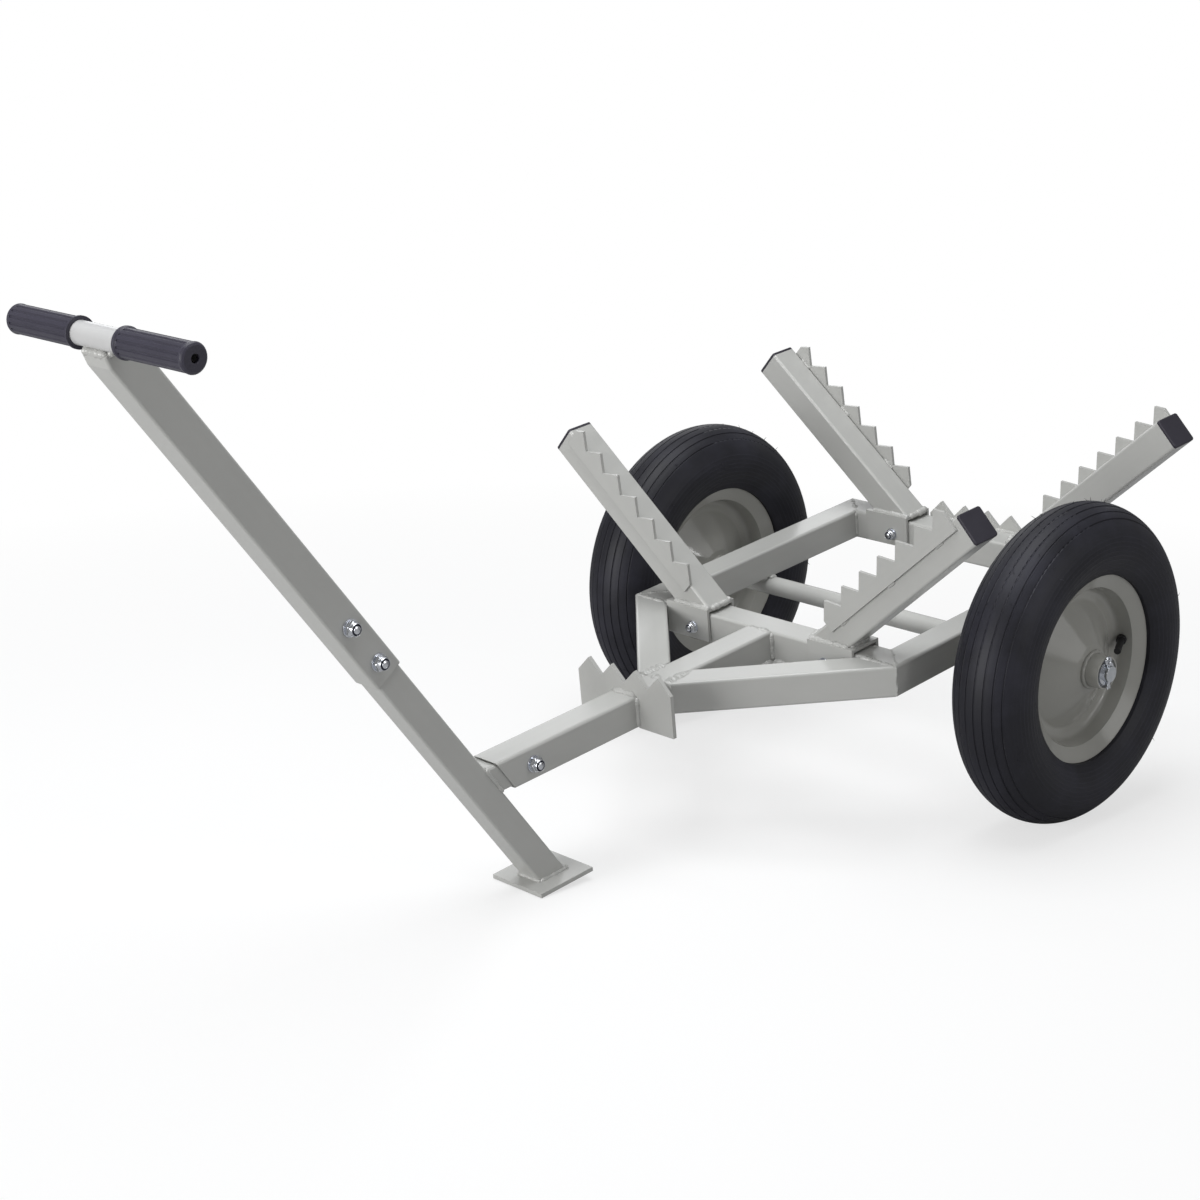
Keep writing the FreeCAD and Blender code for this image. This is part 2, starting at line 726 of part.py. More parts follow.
def tyre(side):
    """A round section with grooved crown, open at the beads, which lie against the rim's flanges."""
    body = new_body()
    sketch = sketch_on(body, "XY_Plane")
    lip = flange + d.tyre_fit
    bead = seat_radius + d.tyre_fit
    bead_outer = half_rim - d.rim_sheet - d.tyre_fit
    bead_foot = bead_outer - d.flange_dish
    bead_inner = bead_foot - d.bead_width
    centre = Vector(tyre_ring.value, 0, 0)

    def arc(radius, angle):
        circle = Part.Circle(centre, Vector(0, 0, 1), radius.value)
        item = sketch.addGeometry(Part.ArcOfCircle(circle, -angle, angle))
        pin_point(sketch, item, 3, tyre_ring, 0)
        constrain(sketch, "Radius", item, radius)
        return item

    outer = arc(section, math.acos((lip.value - tyre_ring.value) / section.value))
    inner = arc(cavity, math.pi - math.asin(bead_inner.value / cavity.value))
    for sign, end in ((-1, 1), (1, 2)):
        wide = Vector(sketch.getPoint(outer, end))
        deep = Vector(sketch.getPoint(inner, end))
        steps = [(lip, sign * bead_outer), (bead, sign * bead_foot), (bead, sign * bead_inner)]
        corners = [wide] + [Vector(x.value, y.value, 0) for x, y in steps] + [deep]
        lines = [sketch.addGeometry(Part.LineSegment(a, b)) for a, b in zip(corners, corners[1:])]
        sketch.addConstraint(Sketcher.Constraint("Coincident", outer, end, lines[0], 1))
        constrain(sketch, "DistanceX", -1, 1, outer, end, lip)
        for before, after, (x, y) in zip(lines, lines[1:], steps):
            sketch.addConstraint(Sketcher.Constraint("Coincident", before, 2, after, 1))
            pin_point(sketch, after, 1, x, y)
        sketch.addConstraint(Sketcher.Constraint("Coincident", lines[-1], 2, inner, end))
        constrain(sketch, "DistanceY", -1, 1, inner, end, sign * bead_inner)
    revolve(body, "Revolution", sketch)

    sketch = sketch_on(body, "XY_Plane")
    count = int(d.groove_count.value)
    for index in range(count):
        angle = (index - (count - 1) / 2) * d.groove_spacing
        draw_circle(sketch, tyre_ring + section * cos(angle), section * sin(angle), d.groove_width / 2)
    revolve(body, "Groove", sketch)
    node(body, f"{side}_tyre", wheel_place(side))


def inner_tube(side):
    def torus(radius):
        item = doc.addObject("Part::Torus", "Torus")
        item.setExpression("Radius1", tyre_ring.text)
        item.setExpression("Radius2", radius.text)
        return item

    skin = cavity - d.tube_gap
    hollow = cut(torus(skin), torus(skin - d.tube_skin))
    node(hollow, f"{side}_inner_tube", wheel_place(side).multiply(Placement(Vector(), ALONG_Y)))


def rim_half(side, face):
    """One pressed half: dished flange, bead seat, round well, and a cone that rises to the hub."""
    thick = d.rim_sheet
    well = seat_radius - d.well_draft
    dish = well - d.well_floor
    collar, collar_face = hub_radius + d.hub_fit, half_rim + d.collar_rise
    cone, cone_face = hub_radius + d.cone_land, half_rim - d.cone_sink
    flange_foot = half_rim - d.flange_dish
    sign = 1 if face == "outer" else -1
    front = [(flange, half_rim), (seat_radius - thick, flange_foot), (well - thick, thick),
             (dish, thick), (cone, cone_face), (collar, collar_face)]
    back = [(collar, collar_face - thick), (cone, cone_face - thick), (dish, length(0)),
            (well, length(0)), (seat_radius, flange_foot - thick), (flange, half_rim - thick)]
    body = new_body()
    sketch = sketch_on(body, "XY_Plane")
    draw_polygon(sketch, [(r, sign * y) for r, y in front + back])
    pressed = revolve(body, "Revolution", sketch)
    bends = [(r.value, sign * y.value) for r, y in front[2:5]]

    def at_a_bend(edge):
        if edge.Curve.TypeId != "Part::GeomCircle":
            return False
        return any(abs(edge.Curve.Radius - r) < TOLERANCE and abs(edge.Curve.Center.y - y) < TOLERANCE
                   for r, y in bends)

    fillet(body, pressed, at_a_bend, d.rim_round)
    name = f"{side}_rim_{face}"
    if face == "inner":
        node(body, name, wheel_place(side))
        return
    hole = cylinder(d.valve_base / 2 + d.valve_fit, d.valve_length)
    start = valve_place().multiply(at(0, 0, -d.valve_base / 2))
    node(cut(body, placed(hole, start)), name, wheel_place(side))


def valve_place():
    """The tilted root's rim lies just below the bead seat; the valve points at the hub and leans outwards."""
    angle = math.radians(d.valve_angle.value)
    tilt = math.radians(d.valve_tilt.value)
    outward = Vector(math.cos(angle), 0, math.sin(angle))
    inward = outward * -math.cos(tilt) + Vector(0, math.sin(tilt), 0)
    reach = seat_radius - d.valve_sink - d.valve_base / 2 * sin(d.valve_tilt)
    root = outward * reach.value + Vector(0, d.valve_offset.value, 0)
    return Placement(root, Rotation(Vector(0, 0, 1), inward))


def valve(side):
    stem = fuse(cylinder(d.valve_base / 2, d.valve_base_length), cylinder(d.valve_stem / 2, d.valve_length))
    node(stem, f"{side}_valve", wheel_place(side).multiply(valve_place()))


def hub(side):
    body = new_body()
    sketch = sketch_on(body, "XZ_Plane")
    draw_circle(sketch, 0, 0, hub_radius)
    draw_circle(sketch, 0, 0, hub_radius - d.hub_wall)
    extrude(body, "Pad", sketch, d.hub_length)
    node(body, f"{side}_hub", wheel_place(side))


def bearings(side):
    outer = 2 * (hub_radius - d.hub_wall - d.hub_fit)
    inner = d.journal_diameter + 2 * d.journal_fit
    pair = [placed(ring(outer, inner, d.bearing_width), at(0, start, 0, ALONG_Y))
            for start in (-bearing_face, bearing_face - d.bearing_width)]
    group(f"{side}_bearings", pair, wheel_place(side))


def axle_washers():
    bore = d.journal_diameter + 2 * d.journal_fit
    outer = d.journal_diameter + 2 * d.axle_washer_land
    washers = []
    for sign in SIDES.values():
        for near in (inner_washer, outer_washer):
            start = near if sign > 0 else -near - d.axle_washer_thickness
            washers.append(placed(ring(outer, bore, d.axle_washer_thickness), at(0, start, 0, ALONG_Y)))
    group("axle_washers", washers)


def split_pins():
    """An eye on top, a doubled shank through the axle and two legs below it, a little apart."""
    pins = []
    wire = d.pin_wire / 2
    reach = d.journal_diameter / 2
    for sign in SIDES.values():
        eye = doc.addObject("Part::Torus", "Eye")
        eye.setExpression("Radius1", d.pin_eye.text)
        eye.setExpression("Radius2", (d.pin_eye_wire / 2).text)
        eye.Placement = at(0, 0, reach + wire + d.pin_eye, ALONG_Y)
        shank = cylinder(wire, 2 * reach + 2 * wire, -reach - wire)
        legs = []
        for way in (-1, 1):
            lean = Rotation(Vector(0, 1, 0), 180 + way * d.pin_spread.value)
            legs.append(placed(cylinder(d.pin_leg_wire / 2, d.pin_leg), at(0, 0, -reach - wire / 2, lean)))
        pins.append(placed(fuse(eye, shank, *legs), at(0, sign * pin_place, 0)))
    group("split_pins", pins)


# Build every piece

for side in SIDES:
    side_rail(side)
    diagonal_brace(side)
    grip(side)
for end in ENDS:
    cross_tube(end)
drawbar()
spike_plates()
axle()
lower_handle_tube()
foot_plate()
drawbar_stub()
upper_handle_tube()
crossbar()
for end in ENDS:
    for side in SIDES:
        saddle(side, end)
        upright_tube(side, end)
        saw_plate(side, end)
        end_cap(side, end)
fasteners()
for side in SIDES:
    tyre(side)
    inner_tube(side)
    rim_half(side, "outer")
    rim_half(side, "inner")
    valve(side)
    hub(side)
    bearings(side)
axle_washers()
split_pins()
doc.recompute()

# Tip the chassis until the foot plate's front edge is on the floor, then centre it over the origin

tyre_radius = (tyre_ring + section).value
foot_front = (d.foot_size / 2 - foot_x).value
foot_low = (d.foot_drop + d.foot_thickness).value
pitch = math.atan2(foot_front, foot_low) - math.acos(tyre_radius / math.hypot(foot_front, foot_low))
stance = Placement(Vector(0, 0, tyre_radius), Rotation(Vector(0, 1, 0), -math.degrees(pitch)))
for item, local in nodes:
    item.Placement = stance.multiply(local)
doc.recompute()
boxes = [item.Shape.optimalBoundingBox() for item, local in nodes]
middle_x = (min(box.XMin for box in boxes) + max(box.XMax for box in boxes)) / 2
stance.Base = Vector(-middle_x, 0, tyre_radius)
for item, local in nodes:
    item.Placement = stance.multiply(local)
doc.recompute()

failed = [item.Label for item in doc.Objects if "Invalid" in item.State or "Error" in item.State]
broken = [item.Label for item, local in nodes if item.Shape.isNull() or not item.Shape.isValid()]
if failed or broken:
    raise RuntimeError(f"failed: {failed}, broken: {broken}")

os.makedirs("parts", exist_ok=True)
for item, local in nodes:
    item.Shape.exportStep(f"parts/{item.Label}.step")
print(f"{len(nodes)} pieces, pitch {math.degrees(pitch):.2f} degrees, axle at x {-middle_x:.2f}")
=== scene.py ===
import json
import math

import bmesh
import bpy
from mathutils import Matrix, Vector


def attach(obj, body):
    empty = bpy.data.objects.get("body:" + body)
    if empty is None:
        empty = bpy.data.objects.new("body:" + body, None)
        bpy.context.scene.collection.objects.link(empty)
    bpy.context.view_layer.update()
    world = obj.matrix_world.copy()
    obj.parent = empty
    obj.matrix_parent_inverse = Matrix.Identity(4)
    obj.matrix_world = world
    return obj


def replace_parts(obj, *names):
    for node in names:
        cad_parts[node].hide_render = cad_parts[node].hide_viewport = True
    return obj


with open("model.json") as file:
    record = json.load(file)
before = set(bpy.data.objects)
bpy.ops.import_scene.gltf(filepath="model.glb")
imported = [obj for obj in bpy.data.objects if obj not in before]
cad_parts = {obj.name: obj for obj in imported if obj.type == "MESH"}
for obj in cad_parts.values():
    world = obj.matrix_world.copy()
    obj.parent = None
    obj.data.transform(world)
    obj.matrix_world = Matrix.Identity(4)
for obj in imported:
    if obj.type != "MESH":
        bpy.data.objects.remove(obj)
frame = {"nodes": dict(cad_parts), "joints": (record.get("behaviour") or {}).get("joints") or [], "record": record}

# Log dolly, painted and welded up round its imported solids.  The chassis frame has its origin at the
# axle's centre, +X to the rear, +Y to the left and +Z square to the rails; its sizes are in millimetres.

MM = 0.001
dolly = frame["nodes"]
for stray in [item for item in bpy.data.objects if item.type in {"MESH", "LIGHT", "CAMERA"}]:
    if stray.name not in dolly:
        bpy.data.objects.remove(stray)
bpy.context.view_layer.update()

SIDES = {"left": 1, "right": -1}
ENDS = {"front": -1, "rear": 1}
wheel_centres = {joint["child"]: Vector(joint["pos_m"]) for joint in frame["joints"]}
axle_centre = sum(wheel_centres.values(), Vector()) / len(wheel_centres)
foot_axis = next(m["axis"] for m in frame["record"]["mounts"] if m["name"] == "foot_rest")
pitch = math.asin(foot_axis[0])
stance = Matrix.Translation(axle_centre) @ Matrix.Rotation(-pitch, 4, "Y")


def chassis(x, y, z):
    """A point of the chassis frame, as metres in the row frame."""
    return stance @ (Vector((x, y, z)) * MM)


def chassis_way(x, y, z):
    return (stance.to_3x3() @ Vector((x, y, z))).normalized()


# Sizes of the pieces that the welds and fasteners sit on

TUBE = 40
HALF_LENGTH, HALF_WIDTH = 220, 215
RAIL_LOW, RAIL_MIDDLE, RAIL_TOP = 12.5, 32.5, 52.5
BRACE_TIP, BRACE_REAR, BRACE_FOOT = -415, -358.4, 158.4
SPIKE_X, SPIKE_THICK = -455, 5
LEG = 35
FOOT_X, FOOT_Z = -612, -116
RAKE = math.radians(31.8)
DRAWBAR_BOLT_X = -626
SLEEVE_BOLTS = (404, 462)
CROSSBAR_AT, CROSSBAR_RADIUS, CROSSBAR_COPE = 888.5, 12, 8
SADDLE_TOP, SADDLE_HALF = 59.5, 25
SADDLE_BOLT_Y = 108.14
CROSS_MIDDLE = 200
UPRIGHT_Y, UPRIGHT_LEAN = 113.14, math.radians(49)
UPRIGHT_FOOT = TUBE / 2 / math.cos(UPRIGHT_LEAN)
HUB_RADIUS, HUB_COLLAR = 20.5, 34
TYRE_RING, TYRE_SECTION = 150, 50
ROUND_STEPS = 48


def handle_point(along, across, y):
    """A point up the handle from its foot plate, and off its axis towards the rear."""
    return chassis(FOOT_X - along * math.sin(RAKE) + across * math.cos(RAKE), y,
                   FOOT_Z + along * math.cos(RAKE) + across * math.sin(RAKE))


def upright_point(side, x, along, across):
    """A point up an upright from its saddle, and off its axis towards the log."""
    y = UPRIGHT_Y + along * math.sin(UPRIGHT_LEAN) - across * math.cos(UPRIGHT_LEAN)
    z = SADDLE_TOP + along * math.cos(UPRIGHT_LEAN) + across * math.sin(UPRIGHT_LEAN)
    return chassis(x, SIDES[side] * y, z)


# Node trees

STREAK_SQUEEZE = 0.965


class Reading:
    """A value on a node tree: arithmetic on it adds Math nodes."""

    def __init__(self, bench, socket):
        self.bench = bench
        self.socket = socket

    def maths(self, operation, first, second=0.0):
        return self.bench.add("ShaderNodeMath", {"operation": operation}, {0: first, 1: second})

    def __add__(self, other):
        return self.maths("ADD", self, other)

    def __radd__(self, other):
        return self.maths("ADD", other, self)

    def __sub__(self, other):
        return self.maths("SUBTRACT", self, other)

    def __rsub__(self, other):
        return self.maths("SUBTRACT", other, self)

    def __mul__(self, other):
        return self.maths("MULTIPLY", self, other)

    def __rmul__(self, other):
        return self.maths("MULTIPLY", other, self)

    def __truediv__(self, other):
        return self.maths("DIVIDE", self, other)

    def __pow__(self, other):
        return self.maths("POWER", self, other)

    def __abs__(self):
        return self.maths("ABSOLUTE", self)

    def wave(self):
        return self.maths("SINE", self)

    def least(self, other):
        return self.maths("MINIMUM", self, other)

    def most(self, other):
        return self.maths("MAXIMUM", self, other)

    def held(self):
        """Kept between nought and one."""
        return self.least(1.0).most(0.0)


class Bench:
    """Adds nodes to one tree."""

    def __init__(self, tree):
        self.tree = tree

    def feed(self, socket, value):
        if isinstance(value, Reading):
            self.tree.links.new(value.socket, socket)
        else:
            socket.default_value = value

    def add(self, kind, settings=None, sockets=None, output=0):
        made = self.tree.nodes.new(kind)
        for name, setting in (settings or {}).items():
            setattr(made, name, setting)
        for name, value in (sockets or {}).items():
            self.feed(made.inputs[name], value)
        return Reading(self, made.outputs[output]) if made.outputs else None


class Finish(Bench):
    """A material, with the patterns that the dolly's finishes share."""

    def __init__(self, name):
        self.material = bpy.data.materials.new(name)
        self.material.use_nodes = True
        super().__init__(self.material.node_tree)
        self.tree.nodes.clear()
        self.place = self.add("ShaderNodeTexCoord", output="Object")

    def noise(self, scale, detail=2.0, place=None, roughness=0.5):
        sockets = {"Vector": place or self.place, "Scale": scale, "Detail": detail, "Roughness": roughness}
        return self.add("ShaderNodeTexNoise", {}, sockets, "Fac")

    def blend(self, share, first, second):
        """Mixes two colours."""
        sockets = {0: share, 6: first, 7: second}
        return self.add("ShaderNodeMix", {"data_type": "RGBA"}, sockets, 2)

    def axes(self, place=None):
        split = self.tree.nodes.new("ShaderNodeSeparateXYZ")
        self.feed(split.inputs[0], place or self.place)
        return [Reading(self, out) for out in split.outputs]

    def round_the_axle(self):
        """The distance from the axle's line and the place along it."""
        sockets = {"Vector": self.place, "Location": -axle_centre}
        x, y, z = self.axes(self.add("ShaderNodeMapping", {}, sockets, "Vector"))
        return (x * x + z * z) ** 0.5, y

    def dot(self, first, second):
        sockets = {0: first, 1: second}
        return self.add("ShaderNodeVectorMath", {"operation": "DOT_PRODUCT"}, sockets, "Value")

    def softened(self, radius):
        """The normal with sharp edges rounded, and how near to an edge each spot is."""
        rounded = self.add("ShaderNodeBevel", {"samples": 6}, {"Radius": radius}, "Normal")
        face = self.add("ShaderNodeNewGeometry", output="Normal")
        return rounded, ((1 - self.dot(rounded, face)) * 5).held()

    def drawn_out(self, way):
        """Places squeezed along one direction, so that a pattern runs that way in streaks."""
        slide = self.dot(self.place, way) * STREAK_SQUEEZE
        slid = self.add("ShaderNodeVectorMath", {"operation": "SCALE"}, {0: way, "Scale": slide})
        return self.add("ShaderNodeVectorMath", {"operation": "SUBTRACT"}, {0: self.place, 1: slid})

    def bumped(self, height, distance, strength=1.0, normal=None):
        sockets = {"Strength": strength, "Distance": distance, "Height": height}
        if normal is not None:
            sockets["Normal"] = normal
        return self.add("ShaderNodeBump", {}, sockets, "Normal")

    def shade(self, **sockets):
        """Ends the tree in the shader; words in the sockets' names are joined by underscores."""
        named = {name.replace("_", " "): value for name, value in sockets.items()}
        surface = self.add("ShaderNodeBsdfPrincipled", {}, named)
        self.add("ShaderNodeOutputMaterial", {}, {"Surface": surface})
        return self.material


# Pattern scales are per metre, heights in millimetres, places on the axle and tyre in metres
CLOUD_SCALE, PEEL_SCALE, STREAK_SCALE, WAVE_SCALE = 14, 430, 150, 30
PEEL_HEIGHT, STREAK_HEIGHT, WAVE_HEIGHT = 0.012, 0.06, 0.5
PAINT_ENDS = 0.2512
FLANK_INNER, FLANK_OUTER = 0.119, 0.172


def toned(colour, share):
    return tuple(part * share for part in colour) + (1.0,)


def powder_coat(name, colour, roughness, way=None, pressed=False):
    """Sprayed and baked paint: clouded tone, orange peel and faint streaks along the tube, paler at the
    edges.  Pressed sheet has slow waves in place of the streaks."""
    finish = Finish(name)
    rounded, edge = finish.softened(0.8 * MM)
    cloud = finish.noise(CLOUD_SCALE, 3)
    peel = finish.noise(PEEL_SCALE, 1)
    if pressed:
        streak, depth = finish.noise(WAVE_SCALE, 2), WAVE_HEIGHT
    else:
        streak = finish.noise(STREAK_SCALE, 2, finish.drawn_out(way) if way else None)
        depth = STREAK_HEIGHT
    tone = (cloud * 0.6 + streak * 0.4 + edge * 0.3).held()
    shown = finish.blend(tone, toned(colour, 0.95), toned(colour, 1.05))
    dull = roughness + (cloud - 0.5) * 0.07 + (streak - 0.5) * 0.04 + edge * 0.03
    height = peel * PEEL_HEIGHT + streak * depth
    return finish.shade(Base_Color=shown, Roughness=dull, Specular_IOR_Level=0.55,
                        Normal=finish.bumped(height, MM, 1.0, rounded))


def axle_finish(name, colour, roughness):
    """Painted between the wheels, bright plated steel where the bearings and washers sit."""
    finish = Finish(name)
    rounded, edge = finish.softened(0.7 * MM)
    _, along = finish.round_the_axle()
    bare = ((abs(along) - PAINT_ENDS) * 900).held()
    cloud, mottle = finish.noise(17, 3), finish.noise(160, 2)
    tone = (cloud * 0.6 + mottle * 0.4 + edge * 0.3).held()
    paint = finish.blend(tone, toned(colour, 0.93), toned(colour, 1.07))
    steel = finish.blend(mottle, (0.50, 0.53, 0.57, 1), (0.78, 0.80, 0.83, 1))
    lathe = (along * 9000).wave() * 0.5 + 0.5
    dull = (roughness + (mottle - 0.5) * 0.05) * (1 - bare) + (0.13 + lathe * 0.1) * bare
    height = finish.noise(PEEL_SCALE, 1) * (1 - bare) * 0.5 + lathe * bare * 0.3
    return finish.shade(Base_Color=finish.blend(bare, paint, steel), Roughness=dull, Metallic=bare,
                        Normal=finish.bumped(height, 0.05 * MM, 0.6, rounded))


def zinc_plate(name):
    """Bright plating with faint warm and cool stains."""
    finish = Finish(name)
    rounded, edge = finish.softened(0.35 * MM)
    stain = finish.noise(260, 3)
    grain = finish.noise(2400, 2)
    shown = finish.blend(stain, (0.58, 0.61, 0.68, 1), (0.86, 0.87, 0.89, 1))
    shown = finish.blend((edge * 0.5).held(), shown, (0.92, 0.93, 0.95, 1))
    return finish.shade(Base_Color=shown, Metallic=1.0, Roughness=0.12 + stain * 0.08 + grain * 0.06,
                        Normal=finish.bumped(grain, 0.03 * MM, 0.5, rounded))


def tyre_rubber(name):
    """Moulded rubber: rings left by the mould on the flanks, smears that run round the tyre."""
    finish = Finish(name)
    radius, along = finish.round_the_axle()
    rolled = finish.add("ShaderNodeCombineXYZ", {}, {0: radius, 1: along, 2: 0.0}, "Vector")
    smear = finish.noise(420, 4, rolled)
    patch = finish.noise(11, 4, roughness=0.6)
    grain = finish.noise(1500, 2)
    flank = ((FLANK_OUTER - radius) * 120).held() * ((radius - FLANK_INNER) * 160).held()
    rings = ((radius * 1150).wave() * 0.5 + 0.5) ** 5 * flank
    # Pale bluish patches in the colour are partly rubber bloom and partly painted sheen; the mould rings are also
    # painted pale, a painted highlight on their ridges.
    bloom_and_painted_sheen = ((patch - 0.46) * 3.0).held() * 0.62 + smear * 0.22 + rings * 0.2
    shown = finish.blend(bloom_and_painted_sheen, (0.0112, 0.0112, 0.0150, 1), (0.0370, 0.0370, 0.0530, 1))
    dull = 0.42 + smear * 0.1 + grain * 0.05 + (patch - 0.5) * 0.24
    height = rings * 0.16 + smear * 0.06 + grain * 0.035
    return finish.shade(Base_Color=shown, Roughness=dull, Specular_IOR_Level=0.28,
                        Normal=finish.bumped(height, MM))


def moulded(name, low, high, roughness, grain_scale, depth):
    """Moulded rubber or plastic: fine grain, handled edges."""
    finish = Finish(name)
    rounded, edge = finish.softened(0.6 * MM)
    patch = finish.noise(38, 3)
    grain = finish.noise(grain_scale, 3)
    tone = (patch * 0.65 + grain * 0.3 + edge * 0.15).held()
    dull = roughness + (patch - 0.5) * 0.1 + (grain - 0.5) * 0.06
    return finish.shade(Base_Color=finish.blend(tone, low, high), Roughness=dull, Specular_IOR_Level=0.4,
                        Normal=finish.bumped(grain, depth, 0.6, rounded))


GREY, COAT_ROUGHNESS = (0.468, 0.469, 0.452), 0.21
finishes = {
    "grey_paint": powder_coat("grey_powder_coat", GREY, COAT_ROUGHNESS),
    "axle_paint": axle_finish("axle_powder_coat", (0.525, 0.526, 0.507), COAT_ROUGHNESS),
    "pale_paint": powder_coat("pale_powder_coat", (0.53, 0.53, 0.53), COAT_ROUGHNESS),
    "grip_rubber": moulded("grip_rubber", (0.032, 0.030, 0.044, 1), (0.055, 0.052, 0.074, 1),
                           0.38, 1300, 0.08 * MM),
    "cap_plastic": moulded("cap_plastic", (0.020, 0.018, 0.026, 1), (0.042, 0.039, 0.053, 1),
                           0.48, 1700, 0.06 * MM),
    "zinc": zinc_plate("bright_zinc"),
    "tyre": tyre_rubber("tyre_rubber"),
    "tube_rubber": moulded("inner_tube_rubber", (0.016, 0.016, 0.018, 1), (0.03, 0.03, 0.033, 1),
                           0.5, 900, 0.06 * MM),
    "rim_paint": powder_coat("rim_powder_coat", (0.36, 0.357, 0.332), 0.14, pressed=True),
    "valve_rubber": moulded("valve_rubber", (0.010, 0.010, 0.011, 1), (0.022, 0.022, 0.024, 1),
                            0.55, 1400, 0.08 * MM),
    "bearing_steel": zinc_plate("bearing_steel"),
}
# The nylon insert is made near-black: partly its own colour, partly painted shade of the recess in the nut's dome.
recess_shaded_nylon = moulded("nylon_ring", (0.004, 0.006, 0.018, 1), (0.010, 0.013, 0.034, 1), 0.45, 1500, 0.03 * MM)


def lean_way(side):
    return chassis_way(0, SIDES[side] * math.sin(UPRIGHT_LEAN), math.cos(UPRIGHT_LEAN))


def brace_way(side):
    return chassis_way(-HALF_LENGTH - BRACE_TIP, SIDES[side] * (HALF_WIDTH - TUBE / 2), 0)


# The grey coat runs along each tube, so it is mixed once for each direction
tube_ways = {"side_rail": chassis_way(1, 0, 0), "drawbar": chassis_way(1, 0, 0),
             "cross_tube": chassis_way(0, 1, 0), "saddle": chassis_way(0, 1, 0),
             "handle_tube": chassis_way(-math.sin(RAKE), 0, math.cos(RAKE))}
for side in SIDES:
    for piece in ("upright_tube", "saw_plate"):
        tube_ways[f"{side}_{piece}"] = lean_way(side)
    tube_ways[f"{side}_diagonal_brace"] = brace_way(side)
drawn_coats = {}


def coat_of(node, slot):
    """The finish of a piece: grey tubes take the coat that runs their way."""
    way = next((tube_ways[piece] for piece in tube_ways if piece in node), None)
    if slot != "grey_paint" or way is None:
        return finishes[slot]
    key = tuple(round(part, 3) for part in way)
    if key not in drawn_coats:
        name = f"grey_powder_coat_{len(drawn_coats) + 1}"
        drawn_coats[key] = powder_coat(name, GREY, COAT_ROUGHNESS, way)
    return drawn_coats[key]


for part in frame["record"]["subparts"]:
    mesh = dolly[part["node"]].data
    mesh.materials.clear()
    mesh.materials.append(coat_of(part["node"], part["material_slot"]))


# Geometry Nodes recipes

SOCKETS = {"GEOMETRY": "NodeSocketGeometry", "VALUE": "NodeSocketFloat", "INT": "NodeSocketInt",
           "MATERIAL": "NodeSocketMaterial", "OBJECT": "NodeSocketObject"}


class Recipe(Bench):
    """A Geometry Nodes tree with named inputs."""

    def __init__(self, name, inputs):
        super().__init__(bpy.data.node_groups.new(name, "GeometryNodeTree"))
        face = self.tree.interface
        self.names = {}
        for label, kind in {"Geometry": "GEOMETRY", **inputs}.items():
            socket = face.new_socket(label, in_out="INPUT", socket_type=SOCKETS[kind])
            self.names[label] = socket.identifier
        face.new_socket("Geometry", in_out="OUTPUT", socket_type=SOCKETS["GEOMETRY"])
        entry = self.tree.nodes.new("NodeGroupInput")
        self.inputs = {label: Reading(self, entry.outputs[label]) for label in self.names}

    def finish(self, geometry, material):
        """Every recipe ends in plain mesh with its finish on."""
        plain = self.add("GeometryNodeRealizeInstances", {}, {0: geometry})
        smooth = self.add("GeometryNodeSetShadeSmooth", {}, {"Geometry": plain, "Shade Smooth": True})
        painted = self.add("GeometryNodeSetMaterial", {}, {"Geometry": smooth, "Material": material})
        self.add("NodeGroupOutput", {}, {0: painted})
        return self

    def make(self, name, mesh, **values):
        """Runs the recipe on a mesh and returns the result as a plain piece."""
        source = bpy.data.objects.new(name + "_path", mesh)
        bpy.context.scene.collection.objects.link(source)
        modifier = source.modifiers.new("recipe", "NODES")
        modifier.node_group = self.tree
        for label, value in values.items():
            modifier[self.names[label.replace("_", " ")]] = value
        graph = bpy.context.evaluated_depsgraph_get()
        made = bpy.data.meshes.new_from_object(source.evaluated_get(graph))
        made.name = name
        source.modifiers.remove(modifier)
        bpy.data.objects.remove(source)
        piece = bpy.data.objects.new(name, made)
        bpy.context.scene.collection.objects.link(piece)
        return piece


def attribute(mesh, name, kind, values):
    column = mesh.attributes.new(name, kind, "POINT")
    column.data.foreach_set("vector" if kind == "FLOAT_VECTOR" else "value", values)


